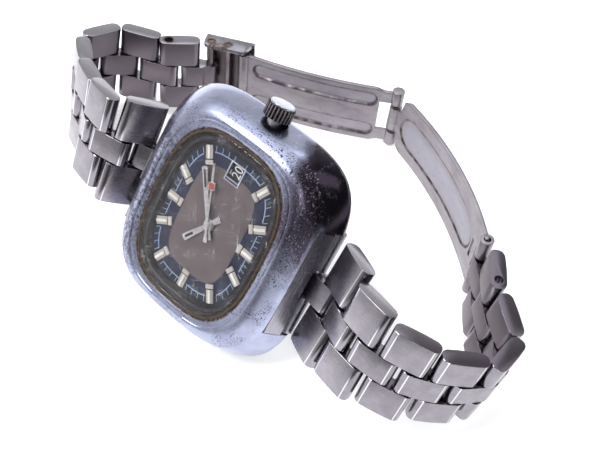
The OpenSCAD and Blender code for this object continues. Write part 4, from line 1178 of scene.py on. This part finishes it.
# The last centre link is slimmer where it goes into the clasp.
KNUCKLE = 1.15
slim_shape = []
for x, z in LINK_SHAPE:
    if x > HALF_PITCH:
        away = math.atan2(z, x - HALF_PITCH)
        x, z = HALF_PITCH + KNUCKLE * math.cos(away), KNUCKLE * math.sin(away)
    elif x > 2.4:
        z = min(max(z, -KNUCKLE), KNUCKLE)
    slim_shape.append((x, z, 0.0))
slim_base = slim_shape, side_base[1]
for side, hours in ((-1, "6"), (1, "12")):
    for k in range(15):
        number = k // 2 + 1
        if k % 2 == 0:
            name = f"centre_link_{hours}_{number}"
            sizes = {"Width": CENTRE_W, "Blocks": 1, "Gap": -CENTRE_W, "Pins": 0}
            part = grow(blocks, link_look, sizes, slim_base if number == 8 else side_base, 0.07)
        else:
            name = f"outer_links_{hours}_{number}"
            width = OUTER_WIDTHS[number - 1]
            part = grow(blocks, link_look, {"Width": width, "Gap": GAP_W}, side_base, 0.1)
            if number == 7:
                side_y = GAP_W / 2 + width
                holes = ((-side_y - 1, 1.2 - side_y), (side_y - 1.2, side_y + 1))
                part = carve(part, *[round_bar(0.75, low, high, axis="Y") for low, high in holes])
        piece_name = name.replace("_link_", "_").replace("_links_", "_")
        piece(piece_name, part, CHAINS[side][k], name + "_body", link_look, [name], 28.0)

# Clasp
# A folding clasp of pressed sheet that stands open: a folded cover with rusty pin holes, a middle
# blade that bows in with two pressed troughs, and an end blade that bows out with a shallow
# panel. Rolled knuckles and pins join them.

COVER_AT = CHAINS[1][15]
cover_pin = Matrix.Translation((6.5, 0, 0))
MIDDLE_AT = COVER_AT @ cover_pin @ Matrix.Rotation(math.radians(1.8438), 4, "Y")
MIDDLE_LENGTH, END_LENGTH = 29.7, 36.1
# The end blade reaches from the last link of the 6 o'clock side to the fold pin.
last_pin = CHAINS[-1][14] @ Vector((HALF_PITCH, 0, 0))
end_x = (MIDDLE_AT @ Vector((MIDDLE_LENGTH, 0, 0)) - last_pin).normalized()
end_z = end_x.cross(-MIDDLE_AT.col[1].xyz).normalized()
end_turn = Matrix((end_x, end_z.cross(end_x), end_z)).transposed().to_4x4()
END_AT = Matrix.Translation(last_pin) @ end_turn
BLADE_T, EDGE_STRIP = 0.8, 0.15


def bow_level(x, length, bow):
    """Height of an arc over its chord."""
    radius = length**2 / (8 * bow) + bow / 2
    return bow - radius + math.sqrt(radius**2 - (x - length / 2) ** 2)


def dent(x, y, start, stop, middle, width, depth, soft):
    """Depth of a pressed trough with round ends at a point of the sheet."""
    half = width / 2
    near = min(max(x, start + half), stop - half)
    inside_by = (half - math.hypot(x - near, y - middle)) / soft
    share = min(max(inside_by, 0.0), 1.0)
    return depth * share * share * (3 - 2 * share)


def blade(stations, half_at, level_at, dent_at, across=84):
    """A bowed sheet with rounded edges; dents are pressed into its inner face."""
    low, rings = BLADE_T / 2, []
    for x in stations:
        half, level = half_at(x), level_at(x)
        ring = []
        for i in range(across + 1):
            y = (half - EDGE_STRIP) * (2 * i / across - 1)
            ring.append((x, y, level - low + dent_at(x, y)))
        edge = [(half - 0.045, low - 0.045), (half, low - 0.16)]
        ring += [(x, y, level - z) for y, z in edge]
        ring += [(x, y, level + z) for y, z in reversed(edge)]
        for i in range(13):
            ring.append((x, (half - EDGE_STRIP) * (1 - i / 6), level + low))
        ring += [(x, -y, level + z) for y, z in edge]
        ring += [(x, -y, level - z) for y, z in reversed(edge)]
        rings.append(ring)
    return through(rings)


def between(points, x):
    """A straight line course through (x, value) points."""
    for (x0, v0), (x1, v1) in zip(points, points[1:]):
        if x <= x1:
            return v0 + (v1 - v0) * (x - x0) / (x1 - x0)
    return points[-1][1]


def blade_steel(name, middle_x, half_l, offset, radius, blue):
    """Dull brushed sheet with dirt and painted shade along the border of a pressed trough with round
    ends, and a painted reflection on the trough's floor.
    """
    made, shader, own = material(name, 1.0, 0.34)
    at_x, at_y = split(own)[:2]
    lines = noise(stretched(own, (0.3, 7.0, 5.0)), 1.6, 3.0)
    cloud = noise(stretched(own, (0.4, 1.0, 1.0)), 0.45, 4.0)
    stain = rising(noise(own, 0.9, 4.0, 0.6), 0.60, 0.70)
    past_x = larger(abs(at_x - middle_x) - half_l, 0.0)
    past_y = abs(at_y) - offset
    away = maths("SQRT", past_x * past_x + past_y * past_y)
    patchy = ramp(noise(own, 0.6, 3.0), (0.35, 0.25), (0.6, 1.0))
    # The dark ring along the trough's border is partly dirt and partly painted shade.
    dirt = falling(abs(away - radius), 0.08, 0.38) * (patchy * 0.85)
    tone = layered(
        cloudy(cloud, (0.215, 0.185, 0.205), (0.33, 0.31, 0.335)),
        (lines * 0.3, (0.20, 0.175, 0.20)),
        # The floor of the trough is painted lighter and bluish: a painted reflection.
        (ramp(away / radius, (0.5, blue), (1.0, 0.0)), (0.31, 0.31, 0.37)),
        (dirt, (0.035, 0.022, 0.022)),
        (stain * 0.25, (0.10, 0.07, 0.06)),
    )
    link(tone, shader, "Base Color")
    link(lines * 0.22 + 0.24 + dirt * 0.4, shader, "Roughness")
    bump(shader, lines + stain * 0.5, 0.2, 0.00004)
    return made


middle_look = blade_steel("middle_blade_steel", 14.1, 10.6, 3.6, 1.35, 0.2)
end_blade_look = blade_steel("end_blade_steel", 19.05, 10.75, 0.0, 3.55, 0.6)

cover_look, shader, own = material("rust_marked_cover", 1.0, 0.3)
at_x, at_y, at_z = split(own)
lines = noise(stretched(own, (0.3, 7.0, 5.0)), 1.6, 3.0)
tone = cloudy(noise(own, 0.5), (0.20, 0.188, 0.21), (0.30, 0.288, 0.315))
face_z = split(stored(own.tree, "facing"))[2]
# The inner face of the channel is painted dark: painted shade.
painted_shade_inside = falling(abs(at_y) / 8.0, 0.84, 0.85) * rising(-face_z, 0.5, 0.8)
tone = blend(painted_shade_inside * 0.9, tone, (0.075, 0.06, 0.065))
wander = noise(own, 2.2)
# Rust rings stand round the holes, run into each other by a smear, and keep to the side walls.
COVER_HOLES = (0.0, 3.3)
rust = 0.0
for hole in COVER_HOLES:
    dx = at_x - hole
    away = maths("SQRT", dx * dx + at_z * at_z)
    rust = larger(falling((away + wander * 1.1) / 2.0, 0.62, 0.80), rust)
smear = falling(abs(at_z + (wander * 0.5 + 0.5)), 0.55, 0.95)
smear = smear * falling(abs(at_x - sum(COVER_HOLES) / 2) / 2.0, 0.85, 1.0)
rust = larger(rust, smear * ramp(wander, (0.4, 0.35), (0.55, 1.0)))
rust = rust * rising(abs(at_y) / 8.0, 0.80, 0.83)
link(blend(rust, tone, (0.062, 0.034, 0.020)), shader, "Base Color")
link(rust * 0.4 + (lines * 0.2 + 0.2), shader, "Roughness")
link(1.0 - rust * 0.8, shader, "Metallic")
bump(shader, lines + rust, 0.2, 0.00005)

# The cover is a channel whose lower edge drops behind the hinge and rises at the far end.
HALF_COVER, WALL, COVER_TOP, ROUND = 7.55, 0.8, 2.3, 0.5
low_course = [(-1.3, -0.2), (-1.22, -0.62), (-0.95, -1.05), (-0.55, -1.3), (-0.1, -1.4)]
low_course += [(6.3, -1.4), (6.55, -1.3), (6.7, -1.1), (7.62, 1.3), (8.0, 1.35)]
stations = [-1.3, -1.22, -1.1, -0.95, -0.75, -0.55, -0.3, -0.1, 1.0, 2.5, 4.0, 5.5]
stations += [6.3, 6.45, 6.55, 6.7, 6.95, 7.2, 7.45, 7.62, 7.9, 8.0]
rings = []
for x in stations:
    low = between(low_course, x)
    h, t, inner_y = HALF_COVER, COVER_TOP, HALF_COVER - WALL
    half = [(h - 0.1, low), (h - 0.03, low + 0.03), (h, low + 0.1), (h, t - ROUND)]
    for a in (0.4, 0.8, 1.2, math.pi / 2):
        half.append((h - ROUND + ROUND * math.cos(a), t - ROUND + ROUND * math.sin(a)))
    inner = [(inner_y, t - WALL), (inner_y, low + 0.06), (inner_y + 0.06, low)]
    ring = [(x, y, z) for y, z in half] + [(x, -y, z) for y, z in reversed(half)]
    ring += [(x, -y, z) for y, z in reversed(inner)] + [(x, y, z) for y, z in inner]
    rings.append(ring)


def cross_bar(radius, low, high, x=0.0, edge=0.0, count=32):
    """A round bar that lies across a blade."""
    return moved(round_bar(radius, low, high, edge, "Y", count), Matrix.Translation((x, 0, 0)))


cover = carve(through(rings), *[cross_bar(0.53, -9.0, 9.0, x) for x in COVER_HOLES])
body = "clasp_cover_body"
piece("clasp_cover_shell", cover, COVER_AT, body, cover_look, ["clasp_cover"], 30.0)

middle = blade(
    [MIDDLE_LENGTH * i / 110 for i in range(111)],
    lambda x: between([(0, 6.3), (25.7, 6.3), (27.1, 5.8), (29.7, 5.8)], x),
    lambda x: -bow_level(x, MIDDLE_LENGTH, 1.2),
    lambda x, y: max(dent(x, y, 2.0, 26.2, s * 3.6, 3.0, 0.42, 0.42) for s in (-1, 1)),
)
middle = carve(middle, plate(26.6, 31.0, -3.4, 3.4, -4.0, 4.0))
middle = join(
    middle,
    cross_bar(KNUCKLE, -6.3, 6.3, edge=0.12),
    cross_bar(KNUCKLE, -6.3, -3.4, MIDDLE_LENGTH, 0.12),
    cross_bar(KNUCKLE, 3.4, 6.3, MIDDLE_LENGTH, 0.12),
)
body = "middle_blade_body"
piece("middle_blade_sheet", middle, MIDDLE_AT, body, middle_look, ["middle_blade"], 30.0)

end_blade = blade(
    [END_LENGTH * i / 120 for i in range(121)],
    lambda x: between([(0, 6.9), (8, 6.9), (32.7, 6.3), (33.7, 5.7), (34.3, 2.6), (36.1, 2.6)], x),
    lambda x: bow_level(x, END_LENGTH, 2.4),
    lambda x, y: dent(x, y, 4.6, 33.5, 0.0, 7.4, 0.18, 0.3),
)
link_gap, slit = plate(-1.0, 2.1, -2.6, 2.6, -4.0, 4.0), plate(3.4, 4.1, -2.2, 2.2, -4.0, 4.0)
end_blade = join(
    carve(end_blade, link_gap, slit),
    carve(
        cross_bar(KNUCKLE, -6.9, -2.6, edge=0.1, count=40), cross_bar(0.62, -8.0, -6.0, count=40)
    ),
    carve(cross_bar(KNUCKLE, 2.6, 6.9, edge=0.1, count=40), cross_bar(0.62, 6.0, 8.0, count=40)),
    cross_bar(KNUCKLE, -2.6, 2.6, END_LENGTH, 0.1),
)
body = "end_blade_body"
piece("end_blade_sheet", end_blade, END_AT, body, end_blade_look, ["end_blade"], 30.0)

pin_look = plain_steel("clasp_pins", (0.13, 0.10, 0.10), (0.26, 0.23, 0.24), 0.4, 2500.0)
dress(pin_look, "clasp_metal", edge=0.00012)
